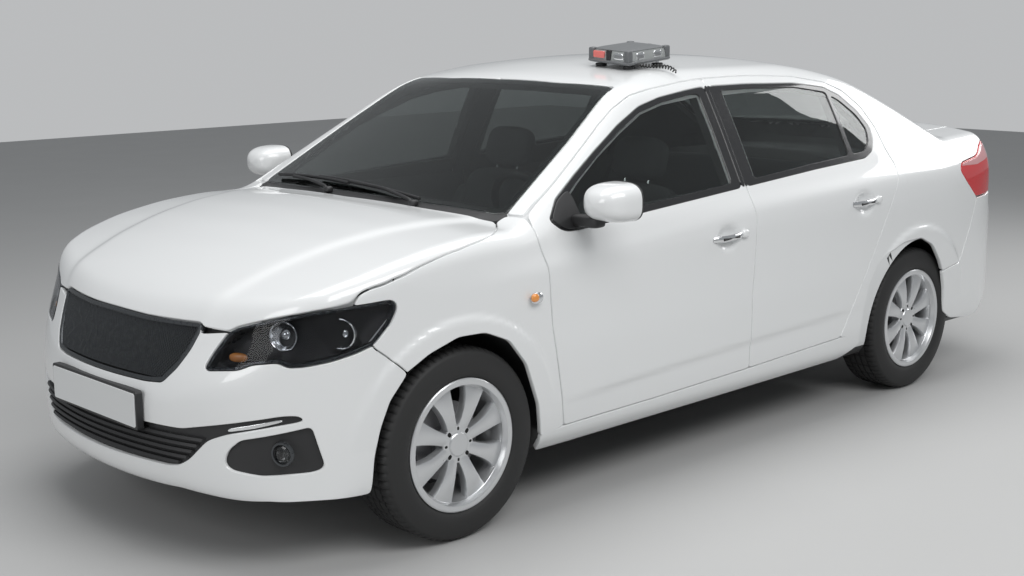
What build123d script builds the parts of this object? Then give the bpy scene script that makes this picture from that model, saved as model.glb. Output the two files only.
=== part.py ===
"""Unmarked police saloon: body shell, panels, glass, axles, wheels, cabin and roof beacon.

Units are millimetres. +X points to the nose, +Y to the car's left, +Z up.
The origin is on the road, under the middle of the car's length and width.
"""
import os

from build123d import *

os.makedirs("parts", exist_ok=True)

# Overall sizes
LENGTH = 4442.0
HALF_WIDTH = 874.0
WHEELBASE = 2652.0
FRONT_OVERHANG = 806.0
NOSE_X = LENGTH / 2
TAIL_X = -LENGTH / 2
FRONT_AXLE_X = NOSE_X - FRONT_OVERHANG
REAR_AXLE_X = FRONT_AXLE_X - WHEELBASE
PLATE_THICKNESS = 3.0
PLATE_HOLDER = 6.0
BUMPER_X = NOSE_X - PLATE_THICKNESS - PLATE_HOLDER

# Wheels and arches
TYRE_RADIUS = 310.5
TYRE_WIDTH = 195.0
BEAD_RADIUS = 203.0
FLANGE_RADIUS = 215.0
BEAD_HALF = 84.0
FLANGE_WIDTH = 8.0
FRONT_TRACK = 1501.0
REAR_TRACK = 1478.0
SPINDLE_RADIUS = 20.0
RUNNING_FIT = 0.05
ARCH_RADIUS = 358.0
FRONT_ARCH_X = FRONT_AXLE_X + 6.0
REAR_ARCH_X = REAR_AXLE_X + 12.0
FRONT_HOUSE_Y = 455.0
REAR_HOUSE_Y = 560.0
HOUSE_WALL = 15.0

# Body walls and gaps
SKIN = 6.0
UNDER_SKIN = 18.0
BEHIND_BUMPER = 30.0
FRAME_DEPTH = 45.0
PANEL_GAP = 6.0
SHUT_LINE = 4.0
LID_ROOM = 12.0
LAMP_DEPTH = 60.0
LAMP_SEAT = LAMP_DEPTH + 0.5
JAMB_GAP = 12.0
GLASS_DEPTH = 8.0
GLASS_THICKNESS = 4.0
SCREEN_THICKNESS = 5.5
GLASS_FIT = 0.2
CABIN_HALF = 715.0
BOOT_HALF = 600.0
POST_HALF = 742.0
PILLAR_HALF = 790.0
FLOOR_Z = 245.0
SHELL_BOTTOM = 200.0
WIDE = 1000.0

# Crown of the long surfaces, as the depth of its centre below the road
BODY_CROWN = 8000.0
ROOF_CROWN = 3300.0
CROWN_ANGLE = 20.0
NOSE_PLAN_RADIUS = 1750.0
TAIL_PLAN_RADIUS = 1900.0

# Body on the centre line: x, z
BODY_PROFILE = [
    (TAIL_X - 200, SHELL_BOTTOM + 30), (TAIL_X - 200, 1108), (-2035, 1108), (-1940, 1112),
    (-1560, 1096), (-1180, 1052), (1160, 1000), (1300, 1003), (1480, 988), (1660, 956),
    (1840, 905), (2000, 838), (2090, 775), (2150, 700), (NOSE_X + 200, 600),
    (NOSE_X + 200, SHELL_BOTTOM), (-1400, SHELL_BOTTOM), (-1600, SHELL_BOTTOM + 30),
]
# Rim of the nose, swept round an upright axis: x, z
NOSE_RIM = [
    (2120, 190), (BUMPER_X - 12, 235), (BUMPER_X, 330), (BUMPER_X, 500),
    (BUMPER_X - 22, 575), (BUMPER_X - 66, 680), (BUMPER_X - 90, 745), (BUMPER_X - 90, 1200),
]
# Rim of the tail, swept round an upright axis: x, z
TAIL_RIM = [
    (TAIL_X + 130, 190), (TAIL_X + 60, 300), (TAIL_X + 12, 400), (TAIL_X, 560),
    (TAIL_X + 14, 690), (TAIL_X + 75, 745), (TAIL_X + 105, 900), (TAIL_X + 150, 1040),
    (TAIL_X + 168, 1112), (TAIL_X + 168, 1200),
]
# Half plan of the body: x, y
PLAN = [
    (NOSE_X + 100, 0), (NOSE_X + 100, 480), (2143, 500), (2088, 614), (2000, 700), (1850, 795),
    (1690, 838), (1450, 868), (1200, HALF_WIDTH), (-1100, HALF_WIDTH), (-1500, 866),
    (-1800, 836), (-1990, 780), (-2085, 700), (-2140, 600), (TAIL_X - 100, 500),
    (TAIL_X - 100, 0),
]
# Half cross-section through the doors: y, z
FLANK = [
    (0, 190), (770, 190), (835, 245), (858, 350), (HALF_WIDTH, 560), (869, 700), (861, 800),
    (838, 925), (820, 965), (805, 1000), (705, 1200), (620, 1358), (545, 1418),
]
ROOF_ARC_MID = (290, 1456)
ROOF_ARC_TOP = (0, 1470)
# Glasshouse on the centre line: x, z
GLASSHOUSE_PROFILE = [
    (1195, 960), (1175, 992), (459, 1392), (380, 1412), (200, 1442), (0, 1460), (-200, 1466),
    (-400, 1464), (-620, 1452), (-830, 1424), (-990, 1388), (-1180, 1312), (-1640, 1096),
    (-1660, 960),
]

# Doors and side windows seen from the side: x, z
FRONT_DOOR = [
    (960, 280), (1032, 626), (1042, 726), (1049, 829), (1075, 911), (1079, 940), (1062, 965),
    (1005, 1000), (975, 1022), (945, 1085), (919, 1105), (735, 1205), (509, 1315), (284, 1364),
    (76, 1385), (-42, 1392), (-42, 298),
]
FRONT_DOOR_BODY = [
    (955, 325), (955, 1010), (905, 1055), (720, 1160), (495, 1270), (275, 1322), (8, 1350),
    (8, 335),
]
REAR_DOOR = [
    (-50, 298), (-50, 1392), (-300, 1394), (-600, 1384), (-800, 1352), (-905, 1312),
    (-990, 1240), (-1045, 1150), (-1060, 1055), (-1081, 996), (-1071, 950), (-1004, 852),
    (-900, 700), (-761, 496), (-660, 322),
]
REAR_DOOR_BODY = [
    (-104, 340), (-104, 1350), (-300, 1352), (-590, 1345), (-775, 1318), (-870, 1280),
    (-945, 1210), (-1000, 1130), (-1012, 1060), (-1030, 990), (-1020, 950), (-960, 865),
    (-858, 712), (-715, 505), (-625, 350),
]
FRONT_WINDOW = [
    (895, 980), (840, 962), (33, 998), (33, 1325), (250, 1306), (379, 1280), (524, 1222),
    (680, 1150), (812, 1080), (890, 1032),
]
REAR_WINDOW = [
    (-128, 1003), (-790, 1035), (-790, 1290), (-590, 1322), (-300, 1330), (-128, 1326),
]
QUARTER_WINDOW = [
    (-815, 1037), (-960, 1045), (-975, 1115), (-925, 1190), (-850, 1252), (-815, 1272),
]
FRONT_POCKET = [
    (955, 300), (955, 1015), (975, 1027), (1010, 1006), (1068, 972), (1090, 944), (1085, 880),
    (1065, 620), (1003, 300),
]
PILLAR_PLAN = [
    (1120, 400), (1120, 806), (1010, 788), (955, 770), (700, 690), (500, 626), (400, 594),
    (400, 400),
]
REAR_POCKET = [(-94, 292), (-94, 990), (-2, 990), (-2, 292)]
# Strip of the rear door's inner body that is cut back to swing past the jamb: x, z
REAR_DOOR_STEP = [
    (-990, 880), (-878, 712), (-735, 505), (-640, 330), (-606, 330), (-698, 505), (-841, 712),
    (-955, 880),
]
STEP_DEPTH = 790.0

# Door hinges and handles
FRONT_HINGE_X = 975.0
REAR_HINGE_X = -80.0
DOOR_HINGE_Y = 850.0
DOOR_HINGE_HEIGHTS = (515.0, 665.0)
PIN_RADIUS = 4.0
SLEEVE_RADIUS = 7.0
SLEEVE_LENGTH = 40.0
LUG_THICKNESS = 6.0
LUG_GAP = 1.0
HANDLE_LENGTH = 190.0
HANDLE_HEIGHT = 26.0
HANDLE_PROUD = 24.0

# Lids, lamps and end panels: plans in x, y and side outlines in x, z
BONNET_PLAN = [
    (2160, 0), (2140, 300), (2100, 470), (2045, 530), (1950, 700), (1800, 790), (1690, 806),
    (1523, 818), (1300, 812), (1211, 778), (1165, 735), (1128, 690), (1172, 400), (1200, 0),
]
BONNET_FRAME = [(2060, 0), (2060, 380), (1260, 420), (1260, 0)]
LID_PLAN = [(-1655, 0), (-1650, 300), (-1642, 565), (-2300, 565), (-2300, 0)]
LID_FRAME = [(-1700, 0), (-1700, 500), (-2005, 500), (-2005, 0)]
LID_REAR = [
    (-565, 1200), (-565, 992), (-480, 992), (-480, 758), (480, 758), (480, 992), (565, 992),
    (565, 1200),
]
WING_SIDE = [
    (968, 190), (1040, 626), (1050, 726), (1057, 829), (1083, 911), (1087, 958), (1092, 985),
    (1300, 1100), (2300, 1100), (2300, 190),
]
HEADLAMP_FRONT = [
    (500, 630), (520, 722), (700, 782), (900, 820), (900, 600), (840, 640), (695, 640), (614, 630),
]
HEADLAMP_SIDE = [
    (1668, 785), (1712, 812), (2300, 830), (2300, 600), (1990, 620), (1850, 650), (1760, 686),
]
TAIL_LAMP_SIDE = [(-1580, 915), (-1604, 966), (-1745, 984), (-2300, 984), (-2300, 812), (-1735, 800)]
TAIL_LAMP_INNER = 490.0
FRONT_BUMPER_SIDE = [
    (1500, 150), (1500, 578), (1692, 578), (1764, 684), (1990, 640), (2078, 628), (2040, 722),
    (2300, 750), (2300, 150),
]
REAR_BUMPER_SIDE = [
    (-1400, 150), (-1400, 500), (-1590, 520), (-1690, 690), (-1738, 796), (-2080, 752),
    (-2300, 752), (-2300, 150),
]
SCREEN_PLAN = [(1138, 0), (1120, 350), (1078, 610), (1060, 670), (395, 545), (440, 300), (452, 0)]
REAR_SCREEN_PLAN = [
    (-1002, 0), (-1000, 300), (-985, 530), (-1480, 600), (-1545, 560), (-1605, 300), (-1618, 0),
]
GRILLE_FRONT = [(-455, 738), (-315, 566), (315, 566), (455, 738)]
INTAKE_FRONT = [(-480, 392), (480, 392), (400, 300), (-400, 300)]
FOG_FRONT = [(560, 395), (700, 410), (745, 330), (700, 290), (560, 300), (530, 340)]
FOG_CENTRE = (655.0, 345.0)
FOG_RADIUS = 38.0

# Hollow spaces: x, z
CABIN_SIDE = [
    (1010, 1010), (1060, 945), (1130, 890), (1130, 450), (1050, FLOOR_Z), (-790, FLOOR_Z),
    (-860, 350), (-1075, 350), (-1190, 1010),
]
BOOT_SIDE = [
    (-1120, 385), (-2050, 385), (-2050, 720), (-2015, 1000), (-1995, 1036), (-1700, 1030),
    (-1650, 985), (-1225, 985),
]
BAY_REAR, BAY_FRONT, BAY_HALF, BAY_FLOOR = 1240.0, 2010.0, 440.0, 244.0
DUCT_HALF, DUCT_LOW, DUCT_HIGH = 300.0, 320.0, 660.0


def flat(points, inset=0.0):
    """Return the face of a closed outline, drawn in by the inset."""
    with BuildSketch() as face:
        with BuildLine():
            Polyline(*points, close=True)
        make_face()
        if inset:
            offset(amount=-inset, kind=Kind.INTERSECTION, mode=Mode.REPLACE)
    return face.sketch


def prism(plane, points, length, inset=0.0):
    """Extrude an outline drawn on a plane."""
    with BuildPart() as solid:
        with BuildSketch(plane):
            add(flat(points, inset))
        extrude(amount=length)
    return solid.part


def side_prism(points, low, high, inset=0.0):
    """Extrude a side outline across the car from y = low to y = high."""
    return prism(Plane.XZ.offset(-high), points, high - low, inset)


def front_prism(points, low, high, inset=0.0):
    """Extrude a front outline along the car from x = low to x = high."""
    return prism(Plane.YZ.offset(low), points, high - low, inset)


def plan_prism(points, low, high, inset=0.0):
    """Extrude a plan outline upwards from z = low to z = high."""
    return prism(Plane.XY.offset(low), points, high - low, inset)


def whole_plan(points):
    """Close a half plan with its mirror image."""
    return points + [(x, -y) for x, y in reversed(points) if y]


def box(low, high):
    """Return the box between two corners."""
    size = [b - a for a, b in zip(low, high)]
    middle = [(a + b) / 2 for a, b in zip(low, high)]
    with BuildPart() as block:
        with Locations(tuple(middle)):
            Box(*size)
    return block.part


def rod(start, end, radius):
    """Return a round bar from one point to another."""
    start, end = Vector(*start), Vector(*end)
    with BuildPart() as bar:
        with BuildSketch(Plane(origin=start, z_dir=end - start)):
            Circle(radius)
        extrude(amount=(end - start).length)
    return bar.part


def other_side(part):
    """Return the right-hand twin of a left-hand piece."""
    return mirror(part, about=Plane.XZ)


def both_sides(part):
    """Return a left-hand solid together with its twin."""
    return part + other_side(part)


def save(part, name):
    """Label a finished piece and write it to its own file."""
    part.label = name
    export_step(part, f"parts/{name}.step")


def crowned(points, depth, inset):
    """Swing a side outline about a lengthwise axis far below the road, which crowns it."""
    axis = Axis((0, 0, -depth), (1, 0, 0))
    with BuildPart() as crown:
        with BuildSketch(Plane.XZ):
            add(flat(points, inset))
        revolve(axis=axis, revolution_arc=2 * CROWN_ANGLE)
    return crown.part.rotate(axis, -CROWN_ANGLE)


def drum(rim, centre_x, inset):
    """Turn a rim outline about an upright axis, which gives a bumper its plan curve."""
    low, high = rim[0][1], rim[-1][1]
    outline = [(centre_x, low - 60)] + [(rim[0][0], low - 60)] + rim + [(centre_x, high)]
    outward = 1 if rim[0][0] > centre_x else -1
    with BuildPart() as turned:
        with BuildSketch(Plane.XZ):
            add(flat(outline, inset))
            with Locations((centre_x - outward * (inset + 50), 600)):
                Rectangle(2 * (2 * inset + 50), 2400, mode=Mode.SUBTRACT)
            with Locations((centre_x + outward * (inset + 50), (low + high) / 2 - 30)):
                Rectangle(2 * (inset + 50), high - low + 60 - 2 * inset)
        revolve(axis=Axis((centre_x, 0, 0), (0, 0, 1)))
    return turned.part


def flank_prism(inset):
    """Extrude the door cross-section along the car, both sides at once."""
    with BuildPart() as flank:
        with BuildSketch(Plane.YZ.offset(TAIL_X - 150)):
            with BuildLine():
                Polyline(*FLANK)
                ThreePointArc(FLANK[-1], ROOF_ARC_MID, ROOF_ARC_TOP)
                Line(ROOF_ARC_TOP, FLANK[0])
            make_face()
            mirror(about=Plane.YZ)
            if inset:
                offset(amount=-inset, kind=Kind.INTERSECTION, mode=Mode.REPLACE)
        extrude(amount=LENGTH + 300)
    return flank.part


def glasshouse(inset):
    """Return the closed form of roof, screens and side glass, drawn in by the inset."""
    with BuildPart() as upper:
        add(crowned(GLASSHOUSE_PROFILE, ROOF_CROWN, inset))
        add(flank_prism(inset), mode=Mode.INTERSECT)
    return upper.part


def lower_body(inset):
    """Return the closed form of the car below the glasshouse, drawn in by the inset."""
    nose = drum(NOSE_RIM, BUMPER_X - NOSE_PLAN_RADIUS, inset)
    tail = drum(TAIL_RIM, TAIL_X + TAIL_PLAN_RADIUS, inset)
    with BuildPart() as lower:
        add(crowned(BODY_PROFILE, BODY_CROWN, inset))
        add(plan_prism(whole_plan(PLAN), 150, 1650, inset), mode=Mode.INTERSECT)
        add(flank_prism(inset), mode=Mode.INTERSECT)
        add(nose + tail, mode=Mode.INTERSECT)
    return lower.part


def body_solid(inset):
    """Return the closed form of the car, drawn in by the inset."""
    return lower_body(inset) + glasshouse(inset)


def wheel_wells(radius, grow):
    """Return the round spaces of all four wheel houses."""
    with BuildPart() as wells:
        for axle_x, inner_y in ((FRONT_ARCH_X, FRONT_HOUSE_Y), (REAR_ARCH_X, REAR_HOUSE_Y)):
            with BuildSketch(Plane.XZ.offset(-WIDE)):
                with Locations((axle_x, TYRE_RADIUS)):
                    Circle(radius + grow)
            extrude(amount=WIDE - inner_y + grow)
        mirror(about=Plane.XZ)
    return wells.part


outer = body_solid(0)
skin_back = body_solid(SKIN)
under = body_solid(UNDER_SKIN)
behind_bumpers = lower_body(BEHIND_BUMPER)
skin = outer - skin_back
panel = outer - under
cabin_top = glasshouse(FRAME_DEPTH)
arches = wheel_wells(ARCH_RADIUS, 0)
houses = wheel_wells(ARCH_RADIUS, HOUSE_WALL)

# Zones of the panels, and the rooms that the shell leaves for them
bonnet_zone = plan_prism(whole_plan(BONNET_PLAN), 720, 1100)
bonnet_room = plan_prism(whole_plan(BONNET_PLAN), 720, 1100, -LID_ROOM)
bonnet_shut = plan_prism(whole_plan(BONNET_PLAN), 720, 1100, -SHUT_LINE)
lid_zone = plan_prism(whole_plan(LID_PLAN), 700, 1200) & front_prism(LID_REAR, -2300, -1500)
lid_room = plan_prism(whole_plan(LID_PLAN), 690, 1210, -LID_ROOM) & front_prism(
    LID_REAR, -2310, -1490, -PANEL_GAP
)
lamp_zone = side_prism(HEADLAMP_SIDE, 400, WIDE) & front_prism(HEADLAMP_FRONT, 1600, 2300)
lamp_room = side_prism(HEADLAMP_SIDE, 400, WIDE, -SHUT_LINE) & front_prism(
    HEADLAMP_FRONT, 1600, 2300, -SHUT_LINE
)
lamp_room = both_sides(lamp_room)
tail_zone = side_prism(TAIL_LAMP_SIDE, TAIL_LAMP_INNER, WIDE)
tail_room = both_sides(side_prism(TAIL_LAMP_SIDE, TAIL_LAMP_INNER - SHUT_LINE, WIDE, -SHUT_LINE))
front_bumper_zone = side_prism(FRONT_BUMPER_SIDE, -WIDE, WIDE)
rear_bumper_zone = side_prism(REAR_BUMPER_SIDE, -WIDE, WIDE)
front_bumper_room = side_prism(FRONT_BUMPER_SIDE, -WIDE, WIDE, -SHUT_LINE)
rear_bumper_room = side_prism(REAR_BUMPER_SIDE, -WIDE, WIDE, -SHUT_LINE)
wing_zone = side_prism(WING_SIDE, 640, WIDE)
pillar_top = plan_prism(PILLAR_PLAN, 960, 1500)
pillar_base = plan_prism(PILLAR_PLAN, 960, 1500, PANEL_GAP)
front_door_zone = side_prism(FRONT_DOOR, 450, WIDE) - pillar_top
rear_door_zone = side_prism(REAR_DOOR, 450, WIDE)
front_door_room = side_prism(FRONT_DOOR, 450, WIDE, -PANEL_GAP) - pillar_base

with BuildPart() as panel_rooms:
    add(bonnet_room)
    add(lid_room)
    add(both_sides(wing_zone))
    add(both_sides(front_door_room))
    add(both_sides(side_prism(REAR_DOOR, 450, WIDE, -PANEL_GAP)))
    add(under, mode=Mode.SUBTRACT)
with BuildPart() as end_rooms:
    add(front_bumper_room)
    add(rear_bumper_room)
    add(lamp_room)
    add(tail_room)
    add(behind_bumpers, mode=Mode.SUBTRACT)
with BuildPart() as lamp_pockets:
    add(lamp_room)
    add(tail_room)
    add(
        outer.moved(Location((-LAMP_SEAT, 0, 0))) & outer.moved(Location((LAMP_SEAT, 0, 0))),
        mode=Mode.SUBTRACT,
    )

# Hollow spaces
with BuildPart() as cabin:
    add(side_prism(CABIN_SIDE, -CABIN_HALF, CABIN_HALF))
    add(houses, mode=Mode.SUBTRACT)
    add(cabin_top)
with BuildPart() as boot:
    add(side_prism(BOOT_SIDE, -BOOT_HALF, BOOT_HALF))
    add(houses, mode=Mode.SUBTRACT)
    add(plan_prism(whole_plan(LID_FRAME), 1000, 1200, -JAMB_GAP))
with BuildPart() as bay:
    add(box((BAY_REAR, -BAY_HALF, BAY_FLOOR), (BAY_FRONT, BAY_HALF, 1100)))
    add(box((BAY_FRONT - 10, -DUCT_HALF, DUCT_LOW), (NOSE_X, DUCT_HALF, DUCT_HIGH)))

# Strut tower and steering axis of the left front wheel
BALL_JOINT = Vector(FRONT_AXLE_X, 705, 195)
TOP_MOUNT = Vector(FRONT_AXLE_X, 570, 800)
STEER_AXIS = (TOP_MOUNT - BALL_JOINT).normalized()
BALL_PIN_RADIUS = 9.0
TOP_PIN_RADIUS = 8.0
TOWER_RADIUS = 68.0
TOWER_ROOF = 815.0
AXLE_RECESS = ((-1430.0, -560.0, 150.0), (-880.0, 560.0, 335.0))

FUEL_FLAP_CENTRE = (-1200.0, 900.0)
FUEL_FLAP_SIZE = (150.0, 146.0)
FUEL_FLAP_CORNER = 26.0
FUEL_FLAP_THICKNESS = 3.0
FUEL_FLAP_GAP = 5.0
FUEL_CUP_Y = 790.0
FUEL_HINGE = (-1138.0, 836.0)
FUEL_PIN_RADIUS = 1.5
FUEL_SLEEVE_RADIUS = 3.0


def flap_prism(grow, inner):
    """Extrude the fuel flap's rounded square from an inner plane outwards."""
    with BuildPart() as solid:
        with BuildSketch(Plane.XZ.offset(-WIDE)):
            with Locations(FUEL_FLAP_CENTRE):
                RectangleRounded(
                    FUEL_FLAP_SIZE[0] + 2 * grow, FUEL_FLAP_SIZE[1] + 2 * grow, FUEL_FLAP_CORNER
                )
        extrude(amount=WIDE - inner)
    return solid.part


# Hinges of the lids: axis point, and how far the leaf reaches from it along the lid
BONNET_HINGE = (1112.0, 600.0, 966.0)
BONNET_LEAF = 46.0
LID_HINGE = (-1612.0, 500.0, 1066.0)
LID_LEAF = -53.0
LID_SLEEVE_LENGTH = 50.0
HINGE_ROOM = 12.0

# Route of the beacon's cord, from its gland to the grommet at the roof's edge
CORD_RADIUS = 9.0
CORD_POINTS = [
    (158, 456, 1441), (140, 468, 1437), (110, 485, 1436), (90, 515, 1435), (80, 549, 1429),
    (76, 568, 1412),
]
GROMMET_RADIUS = 12.0

# Body shell with floor, sills, pillars, roof and quarters
with BuildPart() as side_rooms:
    add(side_prism(FRONT_DOOR_BODY, 450, WIDE, -JAMB_GAP))
    add(side_prism(REAR_DOOR_BODY, 450, WIDE, -JAMB_GAP))
    add(side_prism(FRONT_POCKET, POST_HALF, WIDE))
    add(side_prism(REAR_POCKET, PILLAR_HALF, WIDE))
    mirror(about=Plane.XZ)
with BuildPart() as hinge_rooms:
    for (x, y, z), leaf in ((BONNET_HINGE, BONNET_LEAF), (LID_HINGE, LID_LEAF)):
        back, front = min(x, x + leaf) - HINGE_ROOM - 3, max(x, x + leaf) + HINGE_ROOM + 3
        half = LID_SLEEVE_LENGTH / 2 + 5
        add(box((back, y - half, z - 22), (front, y + half, z + 60)))
        add(box((back, -y - half, z - 22), (front, -y + half, z + 60)))
with BuildPart() as towers:
    with Locations((FRONT_AXLE_X, 585, (600 + TOWER_ROOF) / 2)):
        Cylinder(TOWER_RADIUS, TOWER_ROOF - 600)
    add(rod(TOP_MOUNT - STEER_AXIS * 40, TOP_MOUNT + STEER_AXIS * 70, TOP_PIN_RADIUS + RUNNING_FIT))
    mirror(about=Plane.XZ)
with BuildPart() as shell:
    add(outer)
    for room in (
        panel_rooms.part, end_rooms.part, side_rooms.part, lamp_pockets.part, cabin.part,
        boot.part, bay.part, arches, towers.part,
    ):
        add(room, mode=Mode.SUBTRACT)
    add(plan_prism(whole_plan(SCREEN_PLAN), 966, 1500), mode=Mode.SUBTRACT)
    add(plan_prism(whole_plan(REAR_SCREEN_PLAN), 1030, 1500), mode=Mode.SUBTRACT)
    add(box(*AXLE_RECESS), mode=Mode.SUBTRACT)
    add(flap_prism(FUEL_FLAP_GAP, FUEL_CUP_Y), mode=Mode.SUBTRACT)
    add(hinge_rooms.part, mode=Mode.SUBTRACT)
    for x, y, z in (BONNET_HINGE, LID_HINGE):
        with Locations((x, y, z), (x, -y, z)):
            Cylinder(PIN_RADIUS, LID_SLEEVE_LENGTH + 16, rotation=(90, 0, 0))
    cord_end = Vector(*CORD_POINTS[-1])
    cord_way = (cord_end - Vector(*CORD_POINTS[-2])).normalized()
    add(rod(cord_end, cord_end + cord_way * 8, GROMMET_RADIUS))


def hinge_lugs(hinge_x, post_y):
    """Return the lugs and pins that the body holds for one left-hand door."""
    half = SLEEVE_LENGTH / 2
    with BuildPart() as lugs:
        for height in DOOR_HINGE_HEIGHTS:
            for lug_z in (height + half + LUG_GAP + 3, height - half - LUG_GAP - 3):
                with BuildSketch(Plane.XY.offset(lug_z - LUG_THICKNESS / 2)):
                    with Locations((hinge_x, DOOR_HINGE_Y)):
                        Circle(SLEEVE_RADIUS)
                    with Locations((hinge_x, (DOOR_HINGE_Y + post_y) / 2 - 1)):
                        Rectangle(2 * SLEEVE_RADIUS, DOOR_HINGE_Y - post_y + 2)
                extrude(amount=LUG_THICKNESS)
            with Locations((hinge_x, DOOR_HINGE_Y, height)):
                Cylinder(PIN_RADIUS, SLEEVE_LENGTH + 2 * LUG_GAP + 2 * LUG_THICKNESS)
    return lugs.part


fuel_axis_dir = Vector(0, -0.18, 0.98).normalized()
fuel_low = Vector(FUEL_HINGE[0], FUEL_HINGE[1], FUEL_FLAP_CENTRE[1])
with BuildPart() as fuel_lugs:
    add(rod(fuel_low - fuel_axis_dir * 15, fuel_low + fuel_axis_dir * 15, FUEL_PIN_RADIUS))
    for step in (-15, 11):
        foot = fuel_low + fuel_axis_dir * step
        add(box((foot.X - 2, FUEL_CUP_Y - 2, foot.Z), (foot.X + 2, foot.Y + 1, foot.Z + 4)))
with BuildPart() as body_shell:
    add(shell.part)
    add(both_sides(hinge_lugs(FRONT_HINGE_X, POST_HALF)))
    add(both_sides(hinge_lugs(REAR_HINGE_X, PILLAR_HALF)))
    add(fuel_lugs.part)
save(body_shell.part, "body_shell")

# Bonnet with its hinge sleeves
def lid_sleeves(hinge, leaf, skin_z):
    """Return the two sleeves of a lid, with the leaves that join them to its skin."""
    hinge_x, hinge_y, hinge_z = hinge
    with BuildPart() as sleeves:
        for side in (1, -1):
            with Locations((hinge_x + leaf / 2, side * hinge_y, hinge_z)):
                Box(abs(leaf), LID_SLEEVE_LENGTH, 10)
            with Locations((hinge_x + leaf * 0.78, side * hinge_y, (hinge_z + skin_z) / 2 - 2)):
                Box(abs(leaf) * 0.44, LID_SLEEVE_LENGTH, skin_z - hinge_z + 4)
            with Locations((hinge_x, side * hinge_y, hinge_z)):
                Cylinder(SLEEVE_RADIUS, LID_SLEEVE_LENGTH, rotation=(90, 0, 0))
        for side in (1, -1):
            with Locations((hinge_x, side * hinge_y, hinge_z)):
                Cylinder(
                    PIN_RADIUS + RUNNING_FIT, 80, rotation=(90, 0, 0), mode=Mode.SUBTRACT
                )
    return sleeves.part


with BuildPart() as bonnet:
    add(skin & bonnet_zone)
    add(panel & plan_prism(whole_plan(BONNET_FRAME), 720, 1100))
    add(lid_sleeves(BONNET_HINGE, BONNET_LEAF, 974))
    add(lamp_room, mode=Mode.SUBTRACT)
    add(front_bumper_room, mode=Mode.SUBTRACT)
    add(front_prism(GRILLE_FRONT, 1900, 2300, -SHUT_LINE), mode=Mode.SUBTRACT)
save(bonnet.part, "bonnet")

with BuildPart() as boot_lid:
    add(skin & lid_zone)
    add(panel & plan_prism(whole_plan(LID_FRAME), 1000, 1200))
    add(lid_sleeves(LID_HINGE, LID_LEAF, 1080))
save(boot_lid.part, "boot_lid")

with BuildPart() as wing:
    add(skin & wing_zone)
    add(bonnet_shut, mode=Mode.SUBTRACT)
    add(lamp_room, mode=Mode.SUBTRACT)
    add(front_bumper_room, mode=Mode.SUBTRACT)
    add(arches, mode=Mode.SUBTRACT)
wing_main = wing.part.solids().sort_by(SortBy.VOLUME)[-1]
save(Part() + [wing_main, other_side(wing_main)], "front_wings")

with BuildPart() as fog_holes:
    add(both_sides(front_prism(FOG_FRONT, 1900, 2300)))
with BuildPart() as front_bumper:
    add((outer - under) & front_bumper_zone)
    add(lamp_room, mode=Mode.SUBTRACT)
    add(arches, mode=Mode.SUBTRACT)
    add(front_prism(GRILLE_FRONT, 1900, 2300), mode=Mode.SUBTRACT)
    add(front_prism(INTAKE_FRONT, 1900, 2300), mode=Mode.SUBTRACT)
    add(fog_holes.part, mode=Mode.SUBTRACT)
save(front_bumper.part.solids().sort_by(SortBy.VOLUME)[-1], "front_bumper")

with BuildPart() as rear_bumper:
    add((outer - under) & rear_bumper_zone)
    add(tail_room, mode=Mode.SUBTRACT)
    add(arches, mode=Mode.SUBTRACT)
save(rear_bumper.part.solids().sort_by(SortBy.VOLUME)[-1], "rear_bumper")

# Lamps
with BuildPart() as headlamp:
    add(outer & lamp_zone)
    add(outer.moved(Location((-LAMP_DEPTH, 0, 0))), mode=Mode.SUBTRACT)
headlamp_main = headlamp.part.solids().sort_by(SortBy.VOLUME)[-1]
save(Part() + [headlamp_main, other_side(headlamp_main)], "headlamps")
with BuildPart() as tail_lamp:
    add(outer & tail_zone)
    add(outer.moved(Location((LAMP_DEPTH, 0, 0))), mode=Mode.SUBTRACT)
tail_main = tail_lamp.part.solids().sort_by(SortBy.VOLUME)[-1]
save(Part() + [tail_main, other_side(tail_main)], "tail_lamps")

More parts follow.
